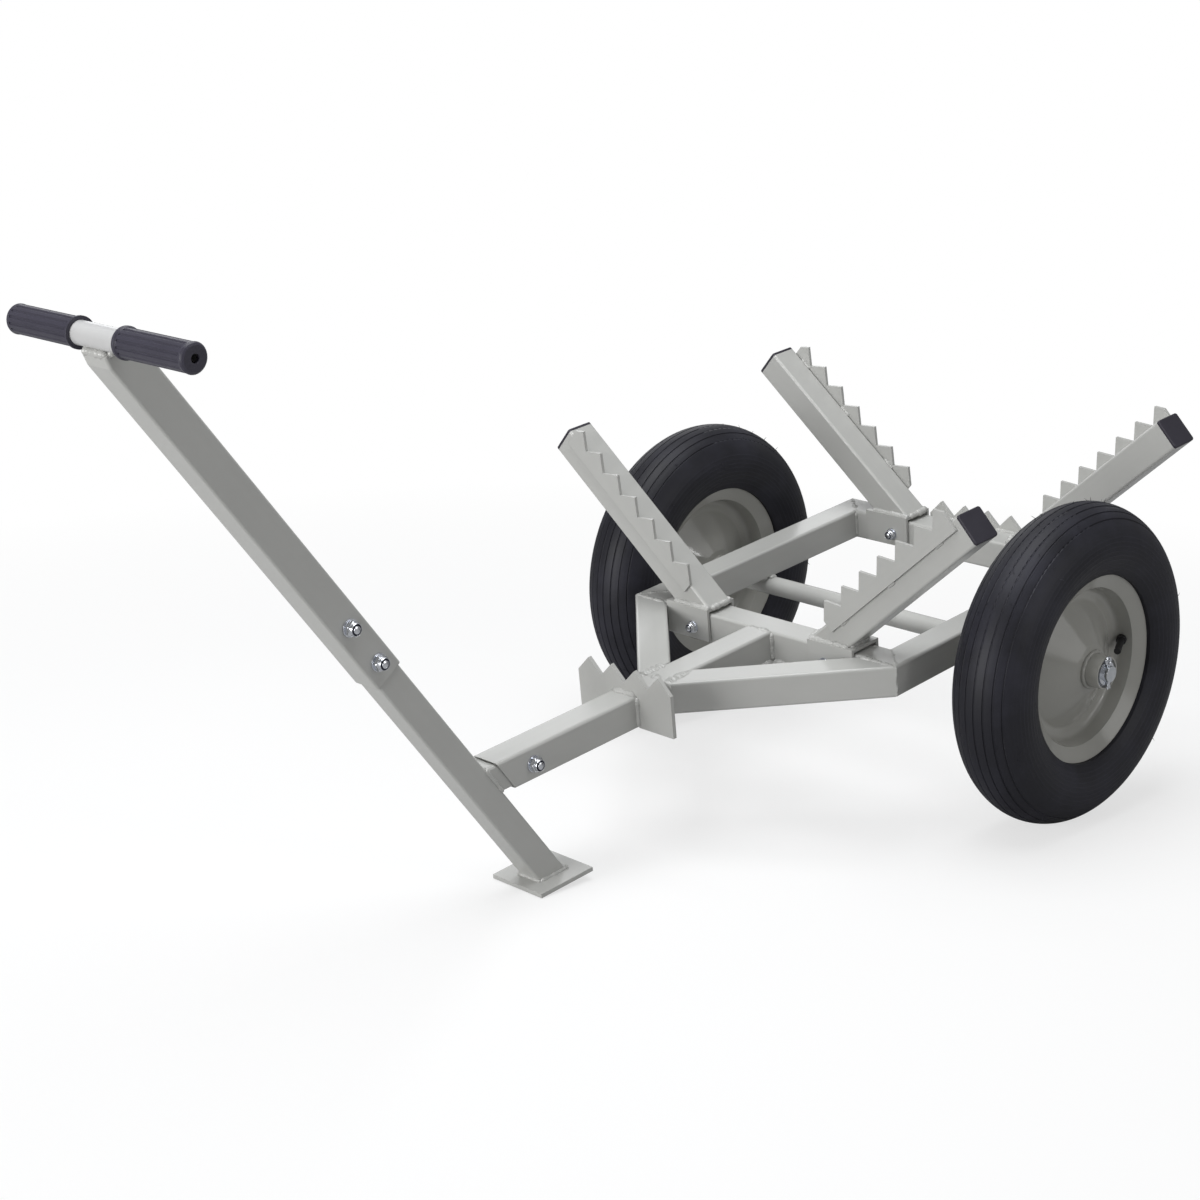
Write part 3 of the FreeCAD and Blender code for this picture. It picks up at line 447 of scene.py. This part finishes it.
def weld_recipe():
    """A rippled bead with rounded ends along each run of a wire mesh; half_width and closed are set on its
    points."""
    recipe = Recipe("weld_bead", {"Ripple Pitch": "VALUE", "Ripple Depth": "VALUE", "Wander": "VALUE",
                                  "Material": "MATERIAL"})
    take = recipe.inputs
    run = recipe.add("GeometryNodeMeshToCurve", {}, {0: take["Geometry"]})
    step = {"Curve": run, "Length": take["Ripple Pitch"] / 4}
    run = recipe.add("GeometryNodeResampleCurve", {"mode": "LENGTH"}, step)
    place = recipe.add("GeometryNodeInputPosition")
    drift = recipe.add("ShaderNodeTexNoise", {}, {"Vector": place, "Scale": 160.0, "Detail": 1.0}, "Color")
    drift = recipe.add("ShaderNodeVectorMath", {"operation": "SUBTRACT"}, {0: drift, 1: (0.5, 0.5, 0.5)})
    drift = recipe.add("ShaderNodeVectorMath", {"operation": "SCALE"}, {0: drift, "Scale": take["Wander"]})
    run = recipe.add("GeometryNodeSetPosition", {}, {"Geometry": run, "Offset": drift})
    width = recipe.add("GeometryNodeInputNamedAttribute", {"data_type": "FLOAT"}, {"Name": "half_width"})
    whole = recipe.add("GeometryNodeInputNamedAttribute", {"data_type": "FLOAT"}, {"Name": "closed"})
    so_far = recipe.add("GeometryNodeSplineParameter", output="Length")
    in_all = recipe.add("GeometryNodeSplineLength", output="Length")
    near_end = (so_far.least(in_all - so_far) / width).held()
    rounding = ((near_end * (2 - near_end)) ** 0.5).most(whole)
    ripple = 1 + (so_far / take["Ripple Pitch"] * math.tau).wave() * take["Ripple Depth"]
    lump = recipe.add("ShaderNodeTexNoise", {}, {"Vector": place, "Scale": 140.0, "Detail": 1.0}, "Fac")
    reach = width * (rounding * 0.96 + 0.04) * ripple * (lump * 0.9 + 0.55)
    ring = recipe.add("GeometryNodeCurvePrimitiveCircle", {}, {"Resolution": 9, "Radius": 1.0})
    swept = recipe.add("GeometryNodeCurveToMesh", {}, {"Curve": run, "Profile Curve": ring, "Scale": reach,
                                                       "Fill Caps": True})
    return recipe.finish(swept, take["Material"])


def hair_recipe():
    """Thin strands of flash that stand off the tyre's skin, each leaning its own way."""
    recipe = Recipe("mould_hairs", {"Density": "VALUE", "Seed": "INT", "Length": "VALUE",
                                    "Thickness": "VALUE", "Material": "MATERIAL"})
    take = recipe.inputs
    spread = recipe.tree.nodes.new("GeometryNodeDistributePointsOnFaces")
    for label, value in {"Mesh": "Geometry", "Density": "Density", "Seed": "Seed"}.items():
        recipe.feed(spread.inputs[label], take[value])
    spots, facing = Reading(recipe, spread.outputs["Points"]), Reading(recipe, spread.outputs["Rotation"])
    strand = recipe.add("GeometryNodeCurvePrimitiveLine", {"mode": "DIRECTION"},
                        {"Direction": (0, 0, 1), "Length": take["Length"]})
    strand = recipe.add("GeometryNodeResampleCurve", {"mode": "COUNT"}, {"Curve": strand, "Count": 5})
    share = recipe.add("GeometryNodeSplineParameter", output="Factor")
    bend = recipe.add("ShaderNodeCombineXYZ", {}, {0: share * share * take["Length"] * 0.55})
    strand = recipe.add("GeometryNodeSetPosition", {}, {"Geometry": strand, "Offset": bend})
    ring = recipe.add("GeometryNodeCurvePrimitiveCircle", {}, {"Resolution": 5, "Radius": take["Thickness"]})
    hair = recipe.add("GeometryNodeCurveToMesh", {}, {"Curve": strand, "Profile Curve": ring,
                                                      "Scale": 1 - share * 0.75, "Fill Caps": True})
    lean = recipe.add("FunctionNodeRandomValue", {"data_type": "FLOAT_VECTOR"},
                      {0: (-0.7, -0.7, -math.pi), 1: (0.7, 0.7, math.pi), "Seed": take["Seed"]})
    lean = recipe.add("FunctionNodeEulerToRotation", {}, {0: lean})
    facing = recipe.add("FunctionNodeRotateRotation", {"rotation_space": "LOCAL"},
                        {"Rotation": facing, "Rotate By": lean})
    size = recipe.add("FunctionNodeRandomValue", {"data_type": "FLOAT"},
                      {2: 0.35, 3: 1.0, "Seed": take["Seed"]}, 1)
    size = recipe.add("ShaderNodeCombineXYZ", {}, {0: 1.0, 1: 1.0, 2: size})
    grown = recipe.add("GeometryNodeInstanceOnPoints", {}, {"Points": spots, "Instance": hair,
                                                            "Rotation": facing, "Scale": size})
    return recipe.finish(grown, take["Material"])


def fastener_recipe():
    """One turned piece set on every seat, facing the way that the seat's axis points."""
    recipe = Recipe("fasteners", {"Pattern": "OBJECT", "Material": "MATERIAL"})
    take = recipe.inputs
    spots = recipe.add("GeometryNodeMeshToPoints", {}, {0: take["Geometry"]})
    pattern = recipe.add("GeometryNodeObjectInfo", {"transform_space": "ORIGINAL"},
                         {0: take["Pattern"]}, "Geometry")
    axis = recipe.add("GeometryNodeInputNamedAttribute", {"data_type": "FLOAT_VECTOR"}, {"Name": "axis"})
    facing = recipe.add("FunctionNodeAlignRotationToVector", {"axis": "Z"}, {"Vector": axis})
    turn = recipe.add("GeometryNodeInputNamedAttribute", {"data_type": "FLOAT"}, {"Name": "turn"})
    turn = recipe.add("FunctionNodeAxisAngleToRotation", {}, {"Axis": (0, 0, 1), "Angle": turn})
    facing = recipe.add("FunctionNodeRotateRotation", {"rotation_space": "LOCAL"},
                        {"Rotation": facing, "Rotate By": turn})
    placed = recipe.add("GeometryNodeInstanceOnPoints", {}, {"Points": spots, "Instance": pattern,
                                                             "Rotation": facing})
    return recipe.finish(placed, take["Material"])


# Welds

runs = {"frame": [], "left_wheel": [], "right_wheel": []}


def weld(points, half_width, body="frame", closed=False):
    runs[body].append((points, half_width, closed))


def seam(start, end, half_width=5.0, rise=0.8, up=(0, 0, 1)):
    """A low, wide bead over two flush faces of the chassis."""
    drop = Vector(up) * (rise - half_width)
    weld([chassis(*(Vector(start) + drop)), chassis(*(Vector(end) + drop))], half_width)


def fillet(start, end, half_width=3.2):
    """A bead in an inside corner of the chassis."""
    weld([chassis(*start), chassis(*end)], half_width)


def rectangle_welds():
    """Mitres of the four corners: top and bottom, and the upright edges outside and inside."""
    for sx in ENDS.values():
        for sy in SIDES.values():
            inner = (sx * (HALF_LENGTH - TUBE), sy * (HALF_WIDTH - TUBE))
            outer = (sx * (HALF_LENGTH - 3), sy * (HALF_WIDTH - 3))
            seam((*inner, RAIL_TOP), (*outer, RAIL_TOP))
            seam((*inner, RAIL_LOW), (*outer, RAIL_LOW), up=(0, 0, -1))
            fillet((*inner, RAIL_LOW + 4), (*inner, RAIL_TOP - 3), 2.8)
            edge = (sx * (HALF_LENGTH - 1.6), sy * (HALF_WIDTH - 1.6))
            fillet((*edge, RAIL_LOW + 1), (*edge, RAIL_TOP - 1), 2.4)


def brace_welds():
    """The braces' feet and the drawbar's end on the front cross tube, and the braces' tips on the drawbar."""
    front, half = -HALF_LENGTH, TUBE / 2
    for sy in SIDES.values():
        seam((front, sy * (BRACE_FOOT + 2), RAIL_TOP), (front, sy * (HALF_WIDTH - 3), RAIL_TOP), 6.0, 1.3)
        fillet((front, sy * BRACE_FOOT, RAIL_LOW + 3), (front, sy * BRACE_FOOT, RAIL_TOP - 2))
        seam((BRACE_TIP + 2, sy * half, RAIL_TOP), (BRACE_REAR - 3, sy * half, RAIL_TOP), 9.0, 2.2)
        seam((BRACE_TIP + 2, sy * half, RAIL_LOW), (BRACE_REAR - 3, sy * half, RAIL_LOW),
             5.0, 0.9, (0, 0, -1))
        fillet((BRACE_TIP, sy * half, RAIL_LOW + 2), (BRACE_TIP, sy * half, RAIL_TOP - 2), 3.0)
        fillet((BRACE_REAR, sy * half, RAIL_LOW + 2), (BRACE_REAR, sy * half, RAIL_TOP - 2), 3.0)
        fillet((front, sy * half, RAIL_LOW + 2), (front, sy * half, RAIL_TOP - 2), 3.8)
        fillet((front, sy * (half + 1), RAIL_LOW - 1), (front, sy * (half + 24), RAIL_LOW), 5.6)
        fillet((front - 22, sy * (half - 1), RAIL_LOW), (front + 1, sy * (half - 1), RAIL_LOW - 1), 4.8)
    seam((BRACE_TIP + 13, -8, RAIL_TOP), (BRACE_TIP + 13, 10, RAIL_TOP), 8.0, 2.2)
    seam((front, -half + 2, RAIL_TOP), (front, half - 2, RAIL_TOP), 6.0, 1.3)
    seam((front, -half + 2, RAIL_LOW), (front, half - 2, RAIL_LOW), 5.0, 0.9, (0, 0, -1))


def spike_welds():
    """Fillets on both faces of the front spike plate, over the drawbar and down its flanks, and stitches
    along the rear one."""
    half = TUBE / 2
    for way in ENDS.values():
        face = SPIKE_X + way * (SPIKE_THICK / 2)
        fillet((face, -half + 2, RAIL_TOP), (face, half - 2, RAIL_TOP), 5.4 + way)
        for sy in SIDES.values():
            fillet((face, sy * half, RAIL_LOW + 2), (face, sy * half, RAIL_TOP - 1), 3.4)
    for middle in (-50, 0, 50):
        start, end = middle - 16, middle + 16
        fillet((HALF_LENGTH, start, RAIL_TOP), (HALF_LENGTH, end, RAIL_TOP), 2.8)
        seam((HALF_LENGTH, start, RAIL_LOW), (HALF_LENGTH, end, RAIL_LOW), 4.0, 0.9, (0, 0, -1))


def axle_welds():
    """The axle is welded under both rails, with a heap of weld on its top beside each rail."""
    for sy in SIDES.values():
        inner, outer = sy * (HALF_WIDTH - TUBE + 2), sy * (HALF_WIDTH - 2)
        for sx in ENDS.values():
            fillet((sx * 6.5, inner, RAIL_LOW - 1.8), (sx * 6.5, outer, RAIL_LOW - 1.8), 3.4)
        for y in (HALF_WIDTH - TUBE - 1, HALF_WIDTH + 1):
            fillet((-6, sy * y, RAIL_LOW - 0.8), (6, sy * y, RAIL_LOW - 0.8), 4.2)


def upright_welds():
    """Round each upright's foot on its saddle, and stitches along the saw plates."""
    for end, sx in ENDS.items():
        for side, sy in SIDES.items():
            near, far = sy * (UPRIGHT_Y - UPRIGHT_FOOT), sy * (UPRIGHT_Y + UPRIGHT_FOOT)
            for way in ENDS.values():
                x = sx * CROSS_MIDDLE + way * TUBE / 2
                fillet((x, near, SADDLE_TOP), (x, far, SADDLE_TOP), 3.8)
            for y in (near, far):
                fillet((sx * CROSS_MIDDLE - 17, y, SADDLE_TOP), (sx * CROSS_MIDDLE + 17, y, SADDLE_TOP), 4.2)
            face = sx * (CROSS_MIDDLE + TUBE / 2)
            for starts, length, across, width in (((34, 132, 228), 15, 7, 2.6),
                                                  ((52, 150, 240), 18, TUBE / 2, 2.4)):
                for start in starts:
                    weld([upright_point(side, face, along, across) for along in (start, start + length)],
                         width)


def handle_welds():
    """The foot plate, the stub on the back of the leg, and the thick fillet under the crossbar."""
    half = LEG / 2
    foot = half / math.cos(RAKE)
    for sy in SIDES.values():
        fillet((FOOT_X - foot, sy * half, FOOT_Z), (FOOT_X + foot, sy * half, FOOT_Z), 2.9)
        toe = FOOT_X - foot - 1
        fillet((toe, sy * (half - 1), FOOT_Z + 1), (toe, sy * (half + 1), FOOT_Z + 1), 3.6)
        fillet((FOOT_X + foot - 1, sy * half, FOOT_Z + 1), (FOOT_X + foot + 3, sy * half, FOOT_Z), 3.6)
    for way in ENDS.values():
        fillet((FOOT_X + way * foot, -half, FOOT_Z), (FOOT_X + way * foot, half, FOOT_Z), 3.0)

    def back_of_leg(z):
        return FOOT_X - (z - FOOT_Z) * math.tan(RAKE) + foot
    low, high = RAIL_MIDDLE - half, RAIL_MIDDLE + half
    for sy in SIDES.values():
        fillet((back_of_leg(low), sy * (half - 0.6), low), (back_of_leg(high), sy * (half - 0.6), high), 2.6)
    for z in (low, high):
        fillet((back_of_leg(z), -half + 2, z), (back_of_leg(z), half - 2, z), 3.0)

    tube = TUBE / 2
    for way in ENDS.values():
        line = [handle_point(CROSSBAR_AT - CROSSBAR_COPE + 0.5, way * (CROSSBAR_RADIUS + 1.2), y)
                for y in (-tube + 1, 0, tube - 1)]
        weld(line, 4.4)
    for sy in SIDES.values():
        saddle = []
        for step in range(-5, 6):
            angle = math.radians(step * 12)
            saddle.append(handle_point(CROSSBAR_AT - (CROSSBAR_RADIUS + 0.5) * math.cos(angle),
                                       (CROSSBAR_RADIUS + 0.5) * math.sin(angle), sy * (tube - 0.4)))
        weld(saddle, 3.6)


def wheel_welds():
    """A bead round each end of the hub, where the rim's collars sit on it."""
    radius, off = HUB_RADIUS + 1.2, HUB_COLLAR + 0.4
    for side in SIDES:
        centre = wheel_centres[f"{side}_wheel"]
        for way in (-1, 1):
            ring = []
            for step in range(ROUND_STEPS):
                angle = math.tau * step / ROUND_STEPS
                spot = Vector((radius * math.cos(angle), way * off, radius * math.sin(angle)))
                ring.append(centre + spot * MM)
            weld(ring, 2.6, f"{side}_wheel", closed=True)


def lay_welds():
    recipe = weld_recipe()
    for body, laid in runs.items():
        points, edges, widths, closed = [], [], [], []
        for run, half_width, whole in laid:
            first = len(points)
            points += run
            edges += [(first + i, first + i + 1) for i in range(len(run) - 1)]
            if whole:
                edges.append((first + len(run) - 1, first))
            widths += [half_width * MM] * len(run)
            closed += [1.0 if whole else 0.0] * len(run)
        wire = bpy.data.meshes.new(f"{body}_weld_wire")
        wire.from_pydata(points, edges, [])
        attribute(wire, "half_width", "FLOAT", widths)
        attribute(wire, "closed", "FLOAT", closed)
        slot = "grey_paint" if body == "frame" else "rim_paint"
        beads = recipe.make(f"{body}_welds", wire, Ripple_Pitch=3.2 * MM, Ripple_Depth=0.07, Wander=0.9 * MM,
                            Material=finishes[slot])
        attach(beads, body)


rectangle_welds()
brace_welds()
spike_welds()
axle_welds()
upright_welds()
handle_welds()
wheel_welds()
lay_welds()


# Fasteners: turned pieces with their seat at nought and their axis up

def turned(name, profile, flats=None):
    """A profile of radii and heights turned about its axis; flats cuts it to a hexagon of that width."""
    mesh = bpy.data.meshes.new(name)
    work = bmesh.new()
    rows = []
    for radius, height in profile:
        row = []
        for step in range(ROUND_STEPS):
            angle = math.tau * step / ROUND_STEPS
            reach = radius
            if flats:
                off_flat = (angle + math.pi / 6) % (math.pi / 3) - math.pi / 6
                reach = min(radius, flats / 2 / math.cos(off_flat))
            spot = (reach * math.cos(angle) * MM, reach * math.sin(angle) * MM, height * MM)
            row.append(work.verts.new(spot))
        rows.append(row)
    for low, high in zip(rows, rows[1:]):
        for i in range(ROUND_STEPS):
            j = (i + 1) % ROUND_STEPS
            work.faces.new((low[i], low[j], high[j], high[i]))
    work.faces.new(reversed(rows[0]))
    work.faces.new(rows[-1])
    work.normal_update()
    work.to_mesh(mesh)
    work.free()
    item = bpy.data.objects.new(name, mesh)
    bpy.context.scene.collection.objects.link(item)
    return item


def hex_profile(flats, height, chamfer):
    """Straight flats between two coned ends."""
    corner = flats / math.sqrt(3)
    rim = flats / 2 * 0.96
    cone = [(rim + (corner - rim) * i / 4, chamfer * i / 4) for i in range(5)]
    return cone + [(radius, height - rise) for radius, rise in reversed(cone)]


def thread_profile(radius, start, end, thread_pitch):
    """Ridges of a thread, with a chamfered tip."""
    ridges, height = [], start
    while height < end - 1.2:
        ridges += [(radius, height), (radius - 0.09 * radius, height + thread_pitch / 2)]
        height += thread_pitch
    return ridges + [(radius * 0.93, end - 0.7), (radius * 0.8, end)]


def seats(name, places, axis, turns):
    mesh = bpy.data.meshes.new(name)
    mesh.from_pydata(places, [], [])
    attribute(mesh, "axis", "FLOAT_VECTOR", [part for _ in places for part in axis])
    attribute(mesh, "turn", "FLOAT", turns)
    return mesh


def joined(name, pieces):
    """Puts several loose pieces of one fastener group into one mesh, each keeping its finish."""
    with bpy.context.temp_override(active_object=pieces[0], selected_editable_objects=pieces):
        bpy.ops.object.join()
    pieces[0].name = name
    pieces[0].data.name = name
    return pieces[0]


fasteners = fastener_recipe()


def bolt_group(prefix, kind, places, axis, clamped):
    """Bolts with coned heads and threaded tips, and lock nuts with a nylon ring whose near-black is partly painted
    recess shade.
    """
    size = {"handle": dict(bolt=10, flats=16, head=6.4, nut=10, washer=2, tip=1, thread=1.5),
            "saddle": dict(bolt=8, flats=13, head=5.3, nut=8, washer=1.6, tip=1, thread=1.25)}[kind]
    shank, flats, nut = size["bolt"] / 2, size["flats"], size["nut"]
    reach = clamped / 2 + size["washer"]
    turns = [0.5 + 1.7 * i for i in range(len(places))]
    many = "s" if len(places) > 1 else ""

    def put(name, profile, offset, material, hexagon=None):
        pattern = turned(name + "_pattern", profile, hexagon)
        spots = seats(name + "_seats", [spot + axis * offset * MM for spot in places], axis, turns)
        piece = fasteners.make(name, spots, Pattern=pattern, Material=material)
        bpy.data.objects.remove(pattern)
        return piece

    head = [(r, -size["head"] + h) for r, h in hex_profile(flats, size["head"], flats * 0.045)]
    heads = put(f"{prefix}_heads", head, -reach, finishes["zinc"], flats)
    tip = 2 * reach + nut + size["tip"]
    rod = [(shank * 0.98, -0.5), (shank * 0.98, tip - 14)]
    rod += thread_profile(shank, tip - 13.5, tip, size["thread"])
    rods = put(f"{prefix}_rods", rod, -reach, finishes["zinc"])
    bolts = joined(f"{prefix}_hex_bolt{many}", [heads, rods])
    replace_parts(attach(bolts, "frame"), f"{prefix}_bolt{many}")

    hex_height = nut * 0.66
    collar = flats / 2 * 0.93
    dome = [(shank + 0.9, 0.2), (collar, 0.2), (collar, hex_height - 0.2), (collar * 0.985, nut * 0.8),
            (collar * 0.955, nut * 0.9), (collar * 0.91, nut * 0.98), (collar * 0.89, nut),
            (collar * 0.865, nut), (collar * 0.85, nut * 0.9), (shank + 0.5, nut * 0.88)]
    base = hex_profile(flats, hex_height, flats * 0.05)
    bases = put(f"{prefix}_flats", base, reach, finishes["zinc"], flats)
    domes = put(f"{prefix}_domes", dome, reach, finishes["zinc"])
    nuts = joined(f"{prefix}_lock_nut{many}", [bases, domes])
    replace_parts(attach(nuts, "frame"), f"{prefix}_nut{many}")
    insert = [(shank - 0.2, nut * 0.88), (collar * 0.86, nut * 0.88), (collar * 0.85, nut * 0.95),
              (shank + 0.2, nut * 0.96), (shank - 0.2, nut * 0.93)]
    ring = put(f"{prefix}_nylon_ring{many}", insert, reach, recess_shaded_nylon)
    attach(ring, "frame")


to_right = Vector((0, -1, 0))
to_front = chassis_way(-1, 0, 0)
bolt_group("handle", "handle", [handle_point(along, 0, 0) for along in SLEEVE_BOLTS], to_right, TUBE)
bolt_group("drawbar", "handle", [chassis(DRAWBAR_BOLT_X, 0, RAIL_MIDDLE)], to_right, TUBE)
bolt_group("saddle", "saddle",
           [chassis(sx * CROSS_MIDDLE, sy * SADDLE_BOLT_Y, RAIL_MIDDLE)
            for sx in ENDS.values() for sy in SIDES.values()], to_front, 2 * SADDLE_HALF)


# Mould hairs on the tyres

# In degrees, millimetres and metres
SKIN_TILT, SKIN_DEPTH, FLOOR_CLEARANCE = 80, 0.2, 0.03


def tyre_skin(side):
    """The tyre's tread and flanks as an open band, without the part near the floor."""
    centre = wheel_centres[f"{side}_wheel"]
    around, across = 72, 16
    points, faces = [], []
    for i in range(around):
        angle = math.tau * i / around
        for j in range(across + 1):
            tilt = math.radians(-SKIN_TILT + 2 * SKIN_TILT * j / across)
            radius = TYRE_RING + (TYRE_SECTION - SKIN_DEPTH) * math.cos(tilt)
            points.append(centre + Vector((radius * math.cos(angle), TYRE_SECTION * math.sin(tilt),
                                           radius * math.sin(angle))) * MM)
    for i in range(around):
        for j in range(across):
            a, b = i * (across + 1) + j, (i + 1) % around * (across + 1) + j
            if min(points[a].z, points[b].z) > FLOOR_CLEARANCE:
                faces.append((a, a + 1, b + 1, b))
    skin = bpy.data.meshes.new(f"{side}_tyre_skin")
    skin.from_pydata(points, [], faces)
    return skin


hairs = hair_recipe()
for number, side in enumerate(SIDES):
    strands = hairs.make(f"{side}_mould_hairs", tyre_skin(side), Density=230.0, Seed=11 + number,
                         Length=6.5 * MM, Thickness=0.45 * MM, Material=finishes["tyre"])
    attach(strands, f"{side}_wheel")


# Floor, light and camera

FLOOR_GREY, FLOOR_WHITE = 0.42, 0.92
FLOOR_HALF, FLOOR_DROP = 9.0, 0.0006
FADE_FROM, FADE_OVER, LEAST_WHITE = 1.0, 0.9, 0.66
WORLD_LIGHT = 0.24
DOLLY_MIDDLE = (0, 0, 0.3)


def floor_finish():
    """Grey to the dolly, white to the eye, with a pale shadow kept near the dolly."""
    finish = Finish("studio_floor")
    x, y, _ = finish.axes()
    far = (((x * x + y * y) ** 0.5 - FADE_FROM) / FADE_OVER).held()
    seen = finish.add("ShaderNodeLightPath", output="Is Camera Ray")
    grey = finish.add("ShaderNodeBsdfDiffuse", {}, {"Color": (FLOOR_GREY, FLOOR_GREY, FLOOR_GREY, 1)})
    pale = finish.add("ShaderNodeBsdfDiffuse", {}, {"Color": (FLOOR_WHITE, FLOOR_WHITE, FLOOR_WHITE, 1)})
    white = finish.add("ShaderNodeEmission", {}, {"Color": (1, 1, 1, 1), "Strength": 1.0})
    share = LEAST_WHITE + far * (1 - LEAST_WHITE)
    shown = finish.add("ShaderNodeMixShader", {}, {0: share, 1: pale, 2: white})
    surface = finish.add("ShaderNodeMixShader", {}, {0: seen, 1: grey, 2: shown})
    finish.add("ShaderNodeOutputMaterial", {}, {"Surface": surface})
    return finish.material


def studio_floor():
    mesh = bpy.data.meshes.new("studio_floor")
    corners = [(-1, -1), (1, -1), (1, 1), (-1, 1)]
    mesh.from_pydata([(FLOOR_HALF * x, FLOOR_HALF * y, -FLOOR_DROP) for x, y in corners],
                     [], [(0, 1, 2, 3)])
    mesh.materials.append(floor_finish())
    floor = bpy.data.objects.new("studio_floor", mesh)
    bpy.context.scene.collection.objects.link(floor)


def studio_world(strength):
    world = bpy.data.worlds.new("studio")
    world.use_nodes = True
    bench = Bench(world.node_tree)
    bench.tree.nodes.clear()
    seen = bench.add("ShaderNodeLightPath", output="Is Camera Ray")
    backdrop = bench.add("ShaderNodeBackground", {}, {"Color": (1, 1, 1, 1),
                                                      "Strength": strength + seen * (1 - strength)})
    bench.add("ShaderNodeOutputWorld", {}, {"Surface": backdrop})
    bpy.context.scene.world = world


def softbox(name, place, target, width, height, power, tint=(1, 1, 1)):
    lamp = bpy.data.lights.new(name, "AREA")
    lamp.shape = "RECTANGLE"
    lamp.size, lamp.size_y, lamp.energy, lamp.color = width, height, power, tint
    item = bpy.data.objects.new(name, lamp)
    item.location = place
    item.rotation_euler = (Vector(target) - Vector(place)).to_track_quat("-Z", "Y").to_euler()
    bpy.context.scene.collection.objects.link(item)


def camera():
    """Stands off the dolly's front right, as photographed."""
    turn, rise, roll = math.radians(-44.647), math.radians(16.287), math.radians(0.169)
    target, distance = Vector((axle_centre.x - 0.49897, 0.0023, 0.3169)), 2.75925
    back = Vector((math.sin(turn) * math.cos(rise), -math.cos(turn) * math.cos(rise), math.sin(rise)))
    right = Vector((math.cos(turn), math.sin(turn), 0))
    up = back.cross(right)
    across = right * math.cos(roll) + up * math.sin(roll)
    upward = up * math.cos(roll) - right * math.sin(roll)
    lens = bpy.data.cameras.new("camera")
    lens.sensor_width, lens.lens = 36, 72.01
    item = bpy.data.objects.new("camera", lens)
    facing = Matrix((across, upward, back)).transposed().to_4x4()
    item.matrix_world = Matrix.Translation(target + back * distance) @ facing
    bpy.context.scene.collection.objects.link(item)
    bpy.context.scene.camera = item


studio_floor()
studio_world(WORLD_LIGHT)
softbox("overhead_softbox", (-0.1, 0.15, 2.9), DOLLY_MIDDLE, 2.4, 2.0, 66, (0.97, 0.985, 1.0))
softbox("front_softbox", (-5.0, 0.4, 1.05), DOLLY_MIDDLE, 3.0, 2.1, 172)
softbox("side_softbox", (1.3, -4.4, 1.7), DOLLY_MIDDLE, 3.2, 2.4, 26)
softbox("back_softbox", (2.39, 3.41, 1.9), (-0.51, 0.51, 0.3), 2.6, 1.8, 20, (0.97, 0.98, 1.0))
softbox("glint_lamp", (0.54, -3.56, 1.44), (0.5, -0.3, 0.2), 0.4, 0.3, 5)
camera()
bpy.context.scene.view_settings.view_transform = "Standard"
